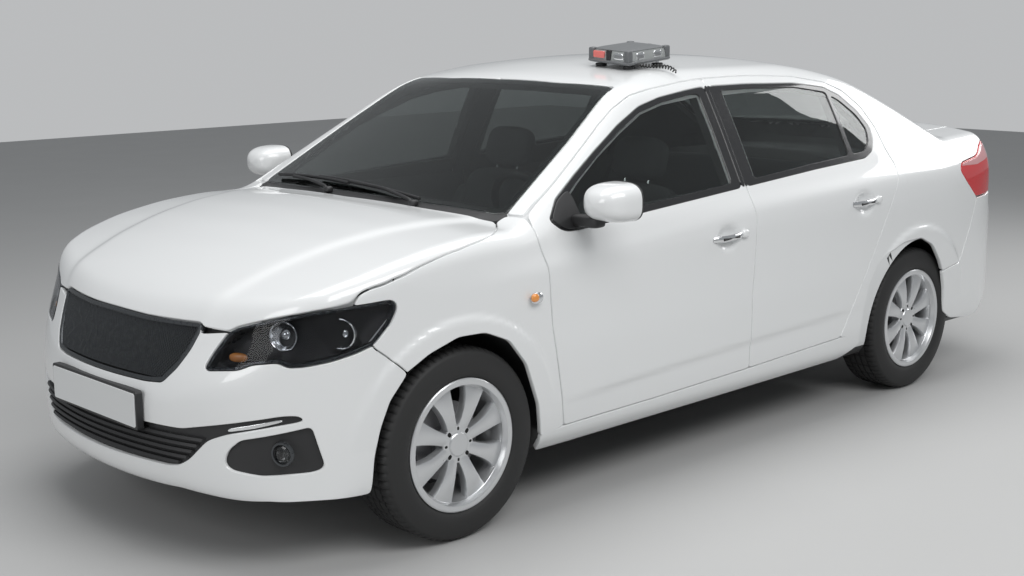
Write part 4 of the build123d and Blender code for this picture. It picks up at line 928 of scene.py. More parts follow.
@dataclass
class Structure:
    """Inner structure: copies of CAD nodes, drawn below the smooth skins."""

    depth: float = 0.0085
    longest_edge: float = 0.12
    cabin_depth: float = 0.016
    liner_depth: float = 0.010
    liner_radius: float = 0.40
    liner_inner_y: float = 0.35
    bulkhead_x: float = 1.05
    cowl: tuple[float, float, float] = (1.13, 0.09, 0.69)
    under_z: float = 0.25
    nodes: tuple[tuple[str, str], ...] = (
        ("body_shell", "root"), ("bonnet", "bonnet"), ("boot_lid", "boot_lid"),
        ("door_front_left", "door_front_left"), ("door_front_right", "door_front_right"),
        ("door_rear_left", "door_rear_left"), ("door_rear_right", "door_rear_right"))

    def copied(self, node: str) -> bpy.types.Mesh:
        """Copy a CAD node's mesh, merged and with its long edges divided.

        Args:
            node: name of the CAD node.

        Returns:
            The new mesh.
        """
        shell = bmesh.new()
        shell.from_mesh(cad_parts[node].data)
        bmesh.ops.remove_doubles(shell, verts=shell.verts, dist=1e-5)
        bmesh.ops.triangulate(shell, faces=shell.faces)
        long_edges = [e for e in shell.edges if e.calc_length() > self.longest_edge]
        bmesh.ops.subdivide_edges(shell, edges=long_edges, cuts=2)
        bmesh.ops.triangulate(shell, faces=shell.faces)
        mesh = bpy.data.meshes.new(f"{node}_structure")
        shell.to_mesh(mesh)
        shell.free()
        return mesh

    def recede(self, mesh: bpy.types.Mesh) -> None:
        """Draw the points that lie near the smooth skin down below it, along its normals.

        Args:
            mesh: mesh to change.
        """
        p = np.empty(len(mesh.vertices) * 3)
        mesh.vertices.foreach_get("co", p)
        p = p.reshape(-1, 3)
        for _ in range(5):
            near_skin = body_field(p) > -self.depth
            if not near_skin.any():
                break
            q = p[near_skin]
            p[near_skin] = q - outward(q) * (body_field(q) + self.depth + 2e-4)[:, None]
        mesh.vertices.foreach_set("co", p.ravel())

    def finish_by_place(self, mesh: bpy.types.Mesh) -> None:
        """Paint the outer faces, trim the cabin's and blacken the arches, bays and underside.

        Args:
            mesh: mesh to dress.
        """
        for finish in (JAMB, TRIM, BLACK):
            mesh.materials.append(finish.material())
        middle = np.array([f.center[:] for f in mesh.polygons])
        x, y, z = middle[:, 0], np.abs(middle[:, 1]), middle[:, 2]
        depth = -body_field(middle)
        kind = np.where(depth > self.cabin_depth, 1, 0)
        to_arch = np.minimum(*(np.hypot(x - ax, z - az) for ax, az in ARCH_CENTRES))
        liner = (y > self.liner_inner_y) & (to_arch < self.liner_radius)
        kind[(liner & (depth > self.liner_depth)) | (z < self.under_z)] = 2
        kind[(x > self.bulkhead_x) & (kind == 1)] = 2
        cowl_x, cowl_half, cowl_y = self.cowl
        kind[(np.abs(x - cowl_x) < cowl_half) & (y < cowl_y)] = 2
        mesh.polygons.foreach_set("material_index", kind.astype(np.int32).tolist())

    def build(self) -> None:
        """Make a receded copy of each node."""
        for node, body in self.nodes:
            mesh = self.copied(node)
            self.recede(mesh)
            mesh.polygons.foreach_set("use_smooth", [True] * len(mesh.polygons))
            mesh.set_sharp_from_angle(angle=0.5)
            self.finish_by_place(mesh)
            obj = bpy.data.objects.new(mesh.name, mesh)
            bpy.context.scene.collection.objects.link(obj)
            settle(obj, body, "white_paint", node)


@dataclass
class Glazing:
    """Side glass in black frames, and both screens with black edges."""

    spacing: float = 0.03
    screen_corner: float = 0.03

    def build(self) -> None:
        """Make all windows."""
        glasses = {
            "front": (DLO_FRONT, [GLASS_FRONT]), "rear": (DLO_REAR, [GLASS_REAR, GLASS_QUARTER])}
        for end, (light, panes) in glasses.items():
            bodies = (f"door_{end}_left", f"door_{end}_right")
            pair(Panel(f"window_frame_{end}", SIDE, on_side(light), GLOSS, depth=0.002,
                       holes=[on_side(pane) for pane in panes], gap=-0.001, hole_gap=0.0,
                       spacing=self.spacing, flange=0.012), bodies, "black_plastic")
            for k, pane in enumerate(panes):
                pair(Panel(f"glass_{end}_pane_{k}", SIDE, on_side(pane), GLASS, depth=0.0065,
                           gap=-0.004, roll=0.001, flange=0.0035, spacing=self.spacing),
                     bodies, "tinted_glass",
                     ((f"glass_{end}_left",), (f"glass_{end}_right",)) if k == 0 else ((), ()))
        front = both_halves(on_top(SCREEN_EDGE + [(1098, 610), (1136, 350), (1152, 0)]))
        rear = both_halves(on_top(REAR_SCREEN_FRONT[::-1] + REAR_SCREEN_BACK[::-1]))
        covers = {"front": [(-47, 990), (-24, 989), (-24, 1362), (-47, 1364)],
                  "rear": [(-45, 990), (-70, 992), (-70, 1362), (-45, 1363)]}
        for end, line in covers.items():
            pair(Panel(f"pillar_cover_{end}", SIDE, on_side(line), GLOSS, depth=-0.0014,
                       flange=0.004, roll=0.001, gap=0.0015, corner=0.002, thickness=0.001),
                 (f"door_{end}_left", f"door_{end}_right"), "black_plastic")
        for name, edge in (("windscreen", front), ("rear_screen", rear)):
            nodes = ("screens",) if name == "windscreen" else ()
            lone(Panel(name, TOP, edge, GLASS, depth=0.002, gap=0.003, roll=0.001,
                       flange=0.004, spacing=self.spacing, corner=self.screen_corner), "root",
                 "tinted_glass", *nodes)
            lone(Panel(f"{name}_border", TOP, edge, GLOSS, depth=0.0065, gap=-0.004,
                       holes=[edge], hole_gap=-0.030, spacing=0.02, corner=self.screen_corner,
                       flange=0.003, roll=0.001), "root", "black_plastic")
        cowl = on_top([(1206, 0), (1186, 400), (1156, 600), (1112, 684), (1070, 692), (1064, 672),
                       (1098, 590), (1130, 340), (1140, 0)])
        lone(Panel("cowl_cover", TOP, both_halves(cowl), BLACK, depth=0.006, spacing=0.02,
                   gap=0.0), "root", "black_plastic")


def signed_power(t: Array, power: float) -> Array:
    """Raise the size of numbers to a power and keep their signs."""
    return np.sign(t) * np.abs(t) ** power


def tube(points: Points, radius: float, sides: int = 12, smooth: int = 8) -> Mesh:
    """Carry a circle along a rounded line.

    Args:
        points: corners of the line.
        radius: radius of the bar.
        sides: points round the circle.
        smooth: points on each side of a corner that round it.

    Returns:
        The mesh of the bar.
    """
    p = blurred(resample(points, 0.008), smooth, False)
    way = np.gradient(p, axis=0)
    way /= np.linalg.norm(way, axis=1, keepdims=True)
    up = np.array([0.0, 0.0, 1.0]) if abs(way[0, 2]) < 0.9 else np.array([0.0, 1.0, 0.0])
    a = np.cross(way, up)
    a /= np.linalg.norm(a, axis=1, keepdims=True)
    b = np.cross(way, a)
    turn = np.linspace(0, 2 * np.pi, sides, endpoint=False)
    ring = np.cos(turn)[None, :, None] * a[:, None] + np.sin(turn)[None, :, None] * b[:, None]
    return skin_rings(p[:, None] + radius * ring)


def skin_rings(rings: Array, closed: bool = False) -> Mesh:
    """Join rings of points into a surface.

    Args:
        rings: points, shaped (rings, sides, 3).
        closed: whether the last ring joins the first, or both ends get a cap.

    Returns:
        The mesh.
    """
    n, m = rings.shape[:2]
    i, j = np.meshgrid(np.arange(n if closed else n - 1), np.arange(m), indexing="ij")
    beyond, beside = (i + 1) % n, (j + 1) % m
    quads = np.stack([i * m + j, i * m + beside, beyond * m + beside, beyond * m + j], axis=-1)
    faces = quads.reshape(-1, 4).tolist()
    if not closed:
        faces += [list(range(m))[::-1], list(range((n - 1) * m, n * m))]
    return rings.reshape(-1, 3), faces


def joined(meshes: Sequence[Mesh]) -> Mesh:
    """Put several meshes into one.

    Args:
        meshes: the meshes.

    Returns:
        One mesh, with the points in the same order.
    """
    verts, faces, start = [], [], 0
    for v, f in meshes:
        verts.append(v)
        faces += [[k + start for k in face] for face in f]
        start += len(v)
    return np.vstack(verts), faces


def lathe(section: Points, sides: int, closed: bool = False) -> Mesh:
    """Turn a section about the Y axis.

    Args:
        section: radius and distance along Y of each corner.
        sides: points round each circle.
        closed: whether the section's last corner joins its first.

    Returns:
        The mesh.
    """
    s = np.asarray(section, float)
    turn = np.linspace(0, 2 * np.pi, sides, endpoint=False)
    rings = np.stack([s[:, None, 0] * np.sin(turn), np.repeat(s[:, 1:2], sides, axis=1),
                      s[:, None, 0] * np.cos(turn)], axis=-1)
    return skin_rings(rings, closed)


def pillow(center: Points, half: Points, power: float = 0.35, rings: int = 24,
           sides: int = 40) -> Mesh:
    """Return a box with rounded edges and crowned faces, as a superellipsoid.

    Its points are half * (C(v) C(u), C(v) S(u), S(v)), where C and S are cosine and sine with
    their size raised to the power.

    Args:
        center: middle of the box.
        half: half its length, width and height.
        power: 1 for an ellipsoid, and near 0 for a sharp box.
        rings: points from pole to pole.
        sides: points round each ring.

    Returns:
        The mesh.
    """
    v = np.linspace(-np.pi / 2, np.pi / 2, rings)
    u = np.linspace(0, 2 * np.pi, sides, endpoint=False)
    across = signed_power(np.cos(v), power)[:, None]
    x = across * signed_power(np.cos(u), power)[None]
    y = across * signed_power(np.sin(u), power)[None]
    z = np.repeat(signed_power(np.sin(v), power)[:, None], sides, axis=1)
    return skin_rings(np.stack([x, y, z], axis=-1) * np.asarray(half) + np.asarray(center))


@dataclass
class Wheel:
    """A tyre with road tread and a rim with eight spokes."""

    radius: float = 0.3105
    spokes: int = 8
    hubs: tuple[tuple[str, float, float, float, bool], ...] = (
        ("front", 1.415, 0.7505, 0.128, False), ("rear", -1.237, 0.739, 0.112, True))
    hub_radius: float = 0.060
    face_y: float = 0.074

    def tyre(self) -> Mesh:
        """Return the tyre at the origin, its outer side towards +Y."""
        lug = [(0.2035, 0.082), (0.214, 0.0835), (0.219, 0.0885), (0.228, 0.0945), (0.245, 0.0972),
               (0.262, 0.0972), (0.280, 0.0945), (0.292, 0.0915), (0.2955, 0.0905), (0.300, 0.0865),
               (0.3055, 0.080), (0.3085, 0.073)]
        tread = []
        for y0, y1 in ((0.066, 0.047), (0.039, 0.018), (0.010, -0.010), (-0.018, -0.039),
                       (-0.047, -0.066)):
            tread += [(0.3100, y0), (0.3105, (y0 + y1) / 2), (0.3100, y1)]
            if y1 > -0.06:
                tread += [(0.3040, y1 - 0.0015), (0.3040, y1 - 0.0065)]
        s = np.array(lug + tread + [(r, -y) for r, y in lug[::-1]])
        sides = 288
        turn = np.linspace(0, 2 * np.pi, sides, endpoint=False)
        r = np.repeat(s[:, :1], sides, axis=1)
        edge = np.abs(s[:, 1]) > 0.0385
        crown = (s[:, 0] > 0.3052)[:, None]
        notch = (np.arange(sides)[None, :] % 4 == 0) & crown
        notch &= edge[:, None] | ((np.arange(sides)[None, :] % 8 == 4))
        r = r - 0.0045 * notch
        rings = np.stack([r * np.sin(turn), np.repeat(s[:, 1:2], sides, axis=1), r * np.cos(turn)],
                         axis=-1)
        return skin_rings(rings, True)

    def barrel(self) -> Mesh:
        """Return the rim's barrel with both flanges and its bright lip."""
        section = [(0.186, 0.070), (0.192, 0.086), (0.1945, 0.0905), (0.199, 0.0918), (0.211, 0.0918),
                   (0.2148, 0.0895), (0.2148, 0.0845), (0.2028, 0.0835), (0.2028, -0.0835),
                   (0.2148, -0.0845), (0.2148, -0.0915), (0.196, -0.0915), (0.188, -0.075),
                   (0.176, -0.03), (0.176, 0.045)]
        return lathe(section, 96, True)

    def spoke(self, angle: float) -> Mesh:
        """Carry a crowned section from the hub to the rim, flaring as it goes.

        Args:
            angle: turn about the wheel's axle, in radians.

        Returns:
            The mesh of the spoke.
        """
        r = np.linspace(self.hub_radius - 0.012, 0.190, 26)
        t = (r - r[0]) / (r[-1] - r[0])
        half = np.interp(r, [0.048, 0.062, 0.085, 0.12, 0.155, 0.182, 0.190],
                         [0.0185, 0.0215, 0.0225, 0.0270, 0.0350, 0.0440, 0.0560])
        crest = self.face_y - 0.006 + 0.010 * np.sin(np.pi * np.clip(t, 0, 1) * 0.9)
        across = np.array([-1.0, -0.985, -0.90, -0.55, 0.0, 0.55, 0.90, 0.985, 1.0, 1.0, -1.0])
        drop = np.array([-0.017, -0.010, -0.0035, -0.0006, 0.0, -0.0006, -0.0035, -0.010, -0.017,
                         -0.030, -0.030])
        x = half[:, None] * across[None]
        y = crest[:, None] + drop[None]
        z = np.repeat(r[:, None], len(across), axis=1)
        c, s = math.cos(angle), math.sin(angle)
        return skin_rings(np.stack([x * c + z * s, y, z * c - x * s], axis=-1))

    def cover(self) -> Mesh:
        """Return the spokes, the ring at the rim and the hub disc as one mesh."""
        ring = lathe([(0.1845, self.face_y - 0.012), (0.1865, self.face_y - 0.001),
                      (0.1925, self.face_y + 0.006), (0.1990, self.face_y + 0.012),
                      (0.1975, self.face_y - 0.02), (0.187, self.face_y - 0.02)], 96, True)
        hub = lathe([(POLE, 0.0745), (0.020, 0.0745), (0.0355, 0.0735), (0.0385, 0.0715),
                     (0.040, 0.0690), (0.0445, 0.0685), (0.060, 0.0680), (0.0625, 0.064),
                     (0.0625, 0.030), (POLE, 0.030)], 64)
        angles = (np.arange(self.spokes) + 0.5) * 2 * math.pi / self.spokes
        return joined([ring, hub] + [self.spoke(a) for a in angles])

    def slots(self) -> Mesh:
        """Return near-black pillows in the slots round the hub disc, as painted shade in the openings."""
        parts = []
        for k in range(8):
            angle = k * math.pi / 4
            half = (0.0075, 0.0095) if k % 2 else (0.0050, 0.0065)
            v, f = pillow((0, 0.0672, 0.0505), (half[0], 0.0022, half[1]), 0.8, 9, 16)
            c, s = math.cos(angle), math.sin(angle)
            parts.append((np.stack([v[:, 0] * c + v[:, 2] * s, v[:, 1], v[:, 2] * c - v[:, 0] * s],
                                   axis=1), f))
        return joined(parts)

    def brake(self, radius: float, drum: bool) -> Mesh:
        """Return what shows of the brake behind the spokes.

        Args:
            radius: radius of the disc or drum.
            drum: whether it is a drum, which stands further out.

        Returns:
            The mesh about the Y axis.
        """
        y = 0.020 if drum else 0.010
        return lathe([(POLE, 0.044), (0.055, 0.044), (0.060, 0.036), (0.062, y), (radius, y),
                      (radius, y - 0.012), (POLE, y - 0.012)], 64)

    def build(self) -> None:
        """Make and place all four wheels."""
        tyre, barrel, cover, slots = self.tyre(), self.barrel(), self.cover(), self.slots()
        for end, x, y, brake_radius, drum in self.hubs:
            brake = self.brake(brake_radius, drum)
            pieces = (("tyre_tread", tyre, RUBBER, "tyre_rubber", "tyre"),
                      ("rim_barrel", barrel, ALLOY, "wheel_alloy", "rim"),
                      ("wheel_cover", cover, ALLOY, "wheel_alloy", ""),
                      # The hub slots are near-black pillows: painted shade in the disc's openings.
                      ("hub_slot_shade", slots, PAINTED_SHADE, "black_plastic", ""),
                      ("brake", brake, CAST, "chassis_steel", ""))
            for side in Side:
                corner, sign = f"{end}_{side.word}", side.value
                for name, (v, f), finish, slot, node in pieces:
                    place = v * (1, sign, 1) + np.array([x, sign * y, self.radius])
                    turned = f if side is Side.LEFT else [face[::-1] for face in f]
                    obj = add_object(f"{name}_{corner}", place, turned, finish, sharp=0.5)
                    settle(obj, f"wheel_{corner}", slot, *((f"{node}_{corner}",) if node else ()))


@dataclass
class Lamps:
    """Headlamps, tail lamps, side lamps and fog pods."""

    def bowl(self, center: Points, way: Points, radius: float, depth: float,
             inner: float = 0.25) -> Mesh:
        """Return a reflector bowl whose depth grows with the square of its radius.

        Args:
            center: middle of its mouth.
            way: direction that it opens to.
            radius: radius of its mouth.
            depth: distance from the mouth to the back.
            inner: share of the radius that is open at the back.

        Returns:
            The mesh.
        """
        t = np.linspace(0, 1, 14)
        section = np.stack([radius * (inner + (1 - inner) * t), depth * (t ** 2 - 1)], axis=1)
        back = section[::-1] + np.array([0.0015, -0.002])
        v, f = lathe(np.vstack([section, back]), 40, True)
        return self.aim(v, center, way), f

    @staticmethod
    def aim(v: Array, center: Points, way: Points) -> Array:
        """Turn points made about the Y axis to a direction and move them.

        Args:
            v: the points.
            center: where their origin goes.
            way: direction that +Y turns to.

        Returns:
            The moved points.
        """
        turn = Vector((0, 1, 0)).rotation_difference(Vector(way)).to_matrix()
        return v @ np.array(turn).T + np.asarray(center)

    def headlamps(self) -> None:
        """Make the smoked headlamps with their reflectors."""
        outline = near(LAMP)
        lens = Panel("headlamp_lens", LAMP_VIEW, outline, SMOKED, gap=0.002, corner=0.008,
                     thickness=0.0025, flange=0.006, spacing=0.014, edge_step=0.006)
        pair(lens, ROOTS, "lamp_lens", (("headlamps",), ()))
        tray = Panel("headlamp_tray", LAMP_VIEW, outline, SMOKE, gap=0.004, corner=0.008,
                     depth=0.062, flange=0.066, roll=0.004, spacing=0.02)
        pair(tray, ROOTS, "lamp_lens")
        wall = Panel("headlamp_wall", LAMP_VIEW, outline, SATIN, gap=0.001, corner=0.008,
                     depth=0.004, flange=0.072, hole_gap=-0.010, spacing=0.02, edge_step=0.006,
                     holes=[outline])
        pair(wall, ROOTS, "lamp_lens")
        way = np.array([0.86, 0.48, 0.05])
        items = []
        for (x, y, z), r in (((1974, 680, 722), 0.040), ((1846, 785, 724), 0.042)):
            center = np.array([x, y, z]) * MM - way * 0.020
            items.append((self.bowl(center, way, r, 0.034), REFLECTOR, "headlamp_bowl"))
            v, f = lathe([(r * 0.98, -0.004), (r * 1.10, 0.001), (r * 1.10, -0.012),
                          (r * 0.98, -0.012)], 48, True)
            items.append(((self.aim(v, center, way), f), CHROME, "headlamp_bezel"))
            v, f = pillow((0, 0, 0), (0.015, 0.012, 0.015), 1.0, 12, 20)
            items.append(((self.aim(v, center - way * 0.022, way), f), CHROME, "headlamp_bulb_cap"))
        v, f = pillow((0, 0, 0), (0.030, 0.012, 0.014), 0.8, 12, 24)
        items.append(((self.aim(v, np.array([2.038, 0.556, 0.652]), (0.9, 0.42, 0.0)), f), AMBER,
                      "indicator"))
        for k, (mesh, finish, name) in enumerate(items):
            both_sides(f"{name}_{k}", mesh, finish, ROOTS, "lamp_lens")

    def tail_lamps(self) -> None:
        """Make the tail lamps, red with a paler upper band."""
        line = np.vstack([on_side(TAIL_LAMP_SIDE), on_end(TAIL_LAMP_END, -1.0)])
        pair(Panel("tail_lamp_lens", REAR_ROUND, line, RED, corner=0.012, spacing=0.014,
                   flange=0.03), ROOTS, "red_lens", (("tail_lamps",), ()))
        band = np.vstack([on_side([(-1592, 948), (-1606, 962), (-1745, 979)]),
                          on_end([(500, 979), (500, 944)], -1.0), on_side([(-1745, 944)])])
        pair(Panel("tail_lamp_band", REAR_ROUND, band, ROSE, corner=0.006, spacing=0.014,
                   depth=-0.0012, flange=0.002), ROOTS, "red_lens")

    def small(self) -> None:
        """Make the side lamps and fog pods."""
        case = pillow((1.119, 0.874, 0.743), (0.025, 0.010, 0.019), 0.85, 14, 32)
        lens = pillow((1.129, 0.8755, 0.745), (0.017, 0.0100, 0.015), 0.9, 12, 24)
        for name, mesh, finish in (("side_lamp", case, CHROME), ("side_lamp_amber", lens, AMBER)):
            both_sides(name, mesh, finish, ROOTS, "lamp_lens",
                       (("fog_and_side_lamps",), ()) if name == "side_lamp" else NO_NODES)
        pair(Panel("fog_pod", FRONT_ROUND, on_end(FOG_POD), BLACK, depth=0.012, gap=-0.003,
                   flange=0.016), ROOTS, "black_plastic")
        center = on_end([(699, 379)])[0]
        way = np.array([0.92, 0.38, 0.0])
        ring, rf = lathe([(0.030, 0.004), (0.036, 0.004), (0.037, -0.006), (0.030, -0.006)], 40,
                         True)
        glass, gf = pillow((0, 0, 0), (0.030, 0.010, 0.030), 1.0, 14, 32)
        bowl = self.bowl(center - way * 0.001, way, 0.029, 0.018)
        for name, mesh, finish in (
                ("fog_bezel", (self.aim(ring, center + way * 0.004, way), rf), SATIN),
                ("fog_lens", (self.aim(glass, center - way * 0.002, way), gf), CLEAR),
                ("fog_bowl", bowl, REFLECTOR)):
            both_sides(name, mesh, finish, ROOTS, "lamp_lens")

    def build(self) -> None:
        """Make all lamps."""
        self.headlamps()
        self.tail_lamps()
        self.small()


@dataclass
class Front:
    """Grille, lower intake and number plates."""

    rows: int = 14
    columns: int = 78
    bar_half: float = 0.0016
    mesh_depth: float = 0.012
    slat_heights: tuple[int, ...] = (325, 345, 365, 385, 405)
    plate_half: tuple[float, float] = (0.258, 0.053)
    holder_edge: float = 0.008

    def bars(self, line: Points) -> None:
        """Make the grille's mesh of thin slanted bars inside a front outline.

        Args:
            line: the outline's y and z, in millimetres.
        """
        loop = np.asarray(line, float) * MM
        low, high = loop.min(axis=0), loop.max(axis=0)
        meshes = []
        span = high - low
        for k in range(-self.rows, self.columns + self.rows):
            for lean in (1, -1):
                t = np.linspace(0, 1, 24)
                y = low[0] + span[0] * (k / self.columns) + lean * t * span[1] * 0.9
                z = low[1] + span[1] * t
                inside = in_loop(np.stack([y, z], axis=1), loop)
                if inside.sum() < 3:
                    continue
                y, z = y[inside], z[inside]
                p = on_end(np.stack([y, z], axis=1) / MM, fine=False) - (self.mesh_depth, 0, 0)
                half = self.bar_half
                ring = np.stack([p + (0.004, -half, 0), p + (0.004, half, 0), p + (-0.004, half, 0),
                                 p + (-0.004, -half, 0)], axis=1)
                meshes.append(skin_rings(ring))
        settle(add_object("grille_mesh", *joined(meshes), SATIN), "root", "black_plastic", "grille")

    def build(self) -> None:
        """Make the grille, the intake and both plates."""
        half = GRILLE_TOP + GRILLE_SIDE + GRILLE_FOOT
        whole = half + [(-y, z) for y, z in half[-2:0:-1]]
        line = on_end(whole)
        frame_line = Panel("grille_frame", FRONT_ROUND, line, SATIN, depth=0.001, gap=0.001,
                           holes=[line], hole_gap=-0.013, spacing=0.012, flange=0.022,
                           corner=0.012)
        lone(frame_line, "root", "black_plastic")
        # Painted shade: a near-black sheet 30 mm behind the grille stands for the darkness seen through
        # it.
        lone(Panel("grille_shade_back", FRONT_ROUND, line, PAINTED_SHADE, depth=0.030, gap=0.0,
                   flange=0.034, spacing=0.03), "root", "black_plastic")
        inner = np.asarray(whole, float)
        middle = np.array([0.0, 640.0])
        inner = middle + (inner - middle) * (0.975, 0.90)
        self.bars(inner)
        intake = INTAKE + [(-y, z) for y, z in INTAKE[-2:0:-1]]
        lone(Panel("intake_back", FRONT_ROUND, on_end(intake), BLACK, depth=0.014, gap=-0.004,
                   flange=0.020, spacing=0.02, corner=0.008), "root", "black_plastic")
        slats = []
        for z in self.slat_heights:
            reach = np.interp(z, [318, 342, 408], [385, 425, 490])
            p = on_end([(y, z) for y in np.linspace(-reach, reach, 40)], fine=False)
            slats.append(skin_rings(np.stack([p + (0.000, 0, -0.004), p + (-0.004, 0, 0.004),
                                              p + (-0.018, 0, 0.004), p + (-0.018, 0, -0.004)],
                                             axis=1)))
        settle(add_object("intake_slats", *joined(slats), BLACK), "root", "black_plastic")
        strip = [(567, 449), (640, 466), (705, 483), (705, 473), (640, 452), (563, 436)]
        pair(Panel("intake_lamp_strip", FRONT_ROUND, on_end(strip), REFLECTOR, depth=0.008,
                   corner=0.004, flange=0.010, roll=0.0015, gap=0.001), ROOTS,
             "lamp_lens")
        for name, x, z, sign, body in (("front", 2.221, 0.466, 1, "root"),
                                       ("rear", -2.137, 0.872, -1, "boot_lid")):
            grown = tuple(side + self.holder_edge for side in self.plate_half)
            holder = self.slab((x - sign * 0.0035, 0, z), grown, 0.010, 0.022, sign)
            obj = add_object(f"{name}_plate_holder", *holder, BLACK)
            settle(obj, body, "black_plastic", f"{name}_plate")
            face = self.slab((x, 0, z), self.plate_half, 0.008, 0.0035, sign)
            settle(add_object(f"{name}_plate_face", *face, PLATE), body, "plate_face")

    @staticmethod
    def slab(face: Points, half: Points, corner: float, depth: float,
             sign: int) -> Mesh:
        """Return a rounded upright plate with a small chamfer round its front.

        Args:
            face: middle of its front.
            half: half its width and height.
            corner: radius of its corners.
            depth: its thickness.
            sign: 1 if it faces forwards, -1 if it faces back.

        Returns:
            The mesh.
        """
        turn = np.linspace(0, 2 * np.pi, 48, endpoint=False)
        c, s = np.cos(turn), np.sin(turn)
        rings = []
        for back, shrink in ((depth, 0.0), (0.0012, 0.0), (0.0, 0.0012)):
            y = (half[0] - corner) * np.sign(c) + (corner - shrink) * c
            z = (half[1] - corner) * np.sign(s) + (corner - shrink) * s
            rings.append(np.stack([np.full(48, face[0] - sign * back), y + face[1], z + face[2]],
                                  axis=1))
        return skin_rings(np.array(rings))


@dataclass
class Fittings:
    """Mirrors, handles and wipers."""

    cap_middle: tuple[float, float] = (0.962, 1.034)
    cap_half: tuple[float, float] = (0.0905, 0.064)
    cap_front: float = 0.958
    cap_length: float = 0.140
    cap_lean: float = 0.00055
    cap_sides: int = 56
    grip_radius: float = 0.0115

    def cap_ring(self, x: float, grow: float, lean: float = 0.0) -> Array:
        """Return a ring of the mirror's housing, a rounded box outline that grows to full size.

        Args:
            x: where the ring stands.
            grow: its size as a share of the full size.
            lean: how far its outer edge is drawn down.

        Returns:
            The points of the ring.
        """
        turn = np.linspace(0, 2 * np.pi, self.cap_sides, endpoint=False)
        across = signed_power(np.cos(turn), 0.62)
        y = self.cap_middle[0] + self.cap_half[0] * grow * across
        z = self.cap_middle[1] + self.cap_half[1] * grow * signed_power(np.sin(turn), 0.70)
        return np.stack([np.full(self.cap_sides, x), y, z - lean * across], axis=1)

    def mirrors(self) -> None:
        """Make the mirrors with white caps and black edges."""
        t = np.linspace(0, 1, 22)
        grow = np.maximum(np.sqrt(1 - (1 - t) ** 3.2), 0.02)
        x_of = self.cap_front - self.cap_length * t
        cap = skin_rings(np.array([self.cap_ring(x, g, self.cap_lean) for x, g in zip(x_of, grow)]))
        edge = skin_rings(np.array([self.cap_ring(x, g) for x, g in (
            (0.8195, 1.0), (0.8185, 1.008), (0.812, 1.006), (0.8105, 0.97), (0.816, 0.90))]))
        foot = pillow((0.880, 0.872, 0.966), (0.028, 0.062, 0.020), 0.5)
        sail = on_side([(995, 973), (930, 937), (845, 938), (868, 1066), (935, 1034)])
        for name, mesh, finish, slot in (("mirror_cap", cap, PAINT, "white_paint"),
                                         ("mirror_edge", edge, BLACK, "black_plastic"),
                                         ("mirror_foot", foot, BLACK, "black_plastic")):
            nodes = (("mirror_left",), ("mirror_right",)) if name == "mirror_cap" else NO_NODES
            both_sides(name, mesh, finish, FRONT_DOORS, slot, nodes)
        pair(Panel("mirror_sail", SIDE, sail, BLACK, depth=-0.001, corner=0.02),
             FRONT_DOORS, "black_plastic")

    def handles(self) -> None:
        """Make the bright door handles with their lock covers."""
        ends = (("front", FRONT_DOORS), ("rear", REAR_DOORS))
        for (end, bodies), (hx, hz) in zip(ends, HANDLES):
            y = float(on_side([(hx / MM + 95, hz / MM)])[0, 1])
            route = [(hx + 0.088, y - 0.008, hz + 0.000), (hx + 0.078, y + 0.016, hz + 0.001),
                     (hx + 0.03, y + 0.0245, hz + 0.002), (hx - 0.03, y + 0.0245, hz + 0.003),
                     (hx - 0.066, y + 0.014, hz + 0.004), (hx - 0.078, y - 0.008, hz + 0.004)]
            v, f = tube(route, self.grip_radius, 20, 5)
            grip = (v * (1, 0.62, 1) + (0, y * 0.38 + 0.003, 0), f)
            inlay = tube([(hx + 0.055, y + 0.0190, hz + 0.0), (hx - 0.035, y + 0.0190, hz + 0.003)],
                         0.0052, 12, 2)
            lock = pillow((hx - 0.090, y + 0.002, hz + 0.006), (0.020, 0.013, 0.0155), 0.7)
            for name, mesh, finish in (("handle_grip", grip, CHROME), ("handle_lock", lock, PAINT),
                                       ("handle_inlay", inlay, BLACK)):
                both_sides(f"{name}_{end}", mesh, finish, bodies, "white_paint")

    def wipers(self) -> None:
        """Make two wipers that lie on the screen's foot."""
        meshes = []
        for pivot, elbow, tip, start in (
                ((1172, 330), (1128, 120), (1092, -300), (1140, 330)),
                ((1170, -150), (1118, -330), (1066, -600), (1120, -90))):
            points = on_top([pivot, elbow, tip, start], fine=False)
            lift = points + (0.004, 0, 0.016)
            meshes.append(tube([points[0] + (0, 0, -0.012), lift[0], lift[1],
                                (lift[1] + lift[2]) / 2], 0.0065, 10, 3))
            blade = on_top(np.linspace(start, tip, 18), fine=False) + (0.003, 0, 0.012)
            meshes.append(tube(blade, 0.0062, 10, 3))
            meshes.append(pillow(points[0] + (0, 0, 0.006), (0.016, 0.016, 0.012), 0.7, 12, 20))
        settle(add_object("wiper_set", *joined(meshes), BLACK), "root", "black_plastic", "wipers")

    def build(self) -> None:
        """Make all fittings."""
        self.mirrors()
        self.handles()
        self.wipers()


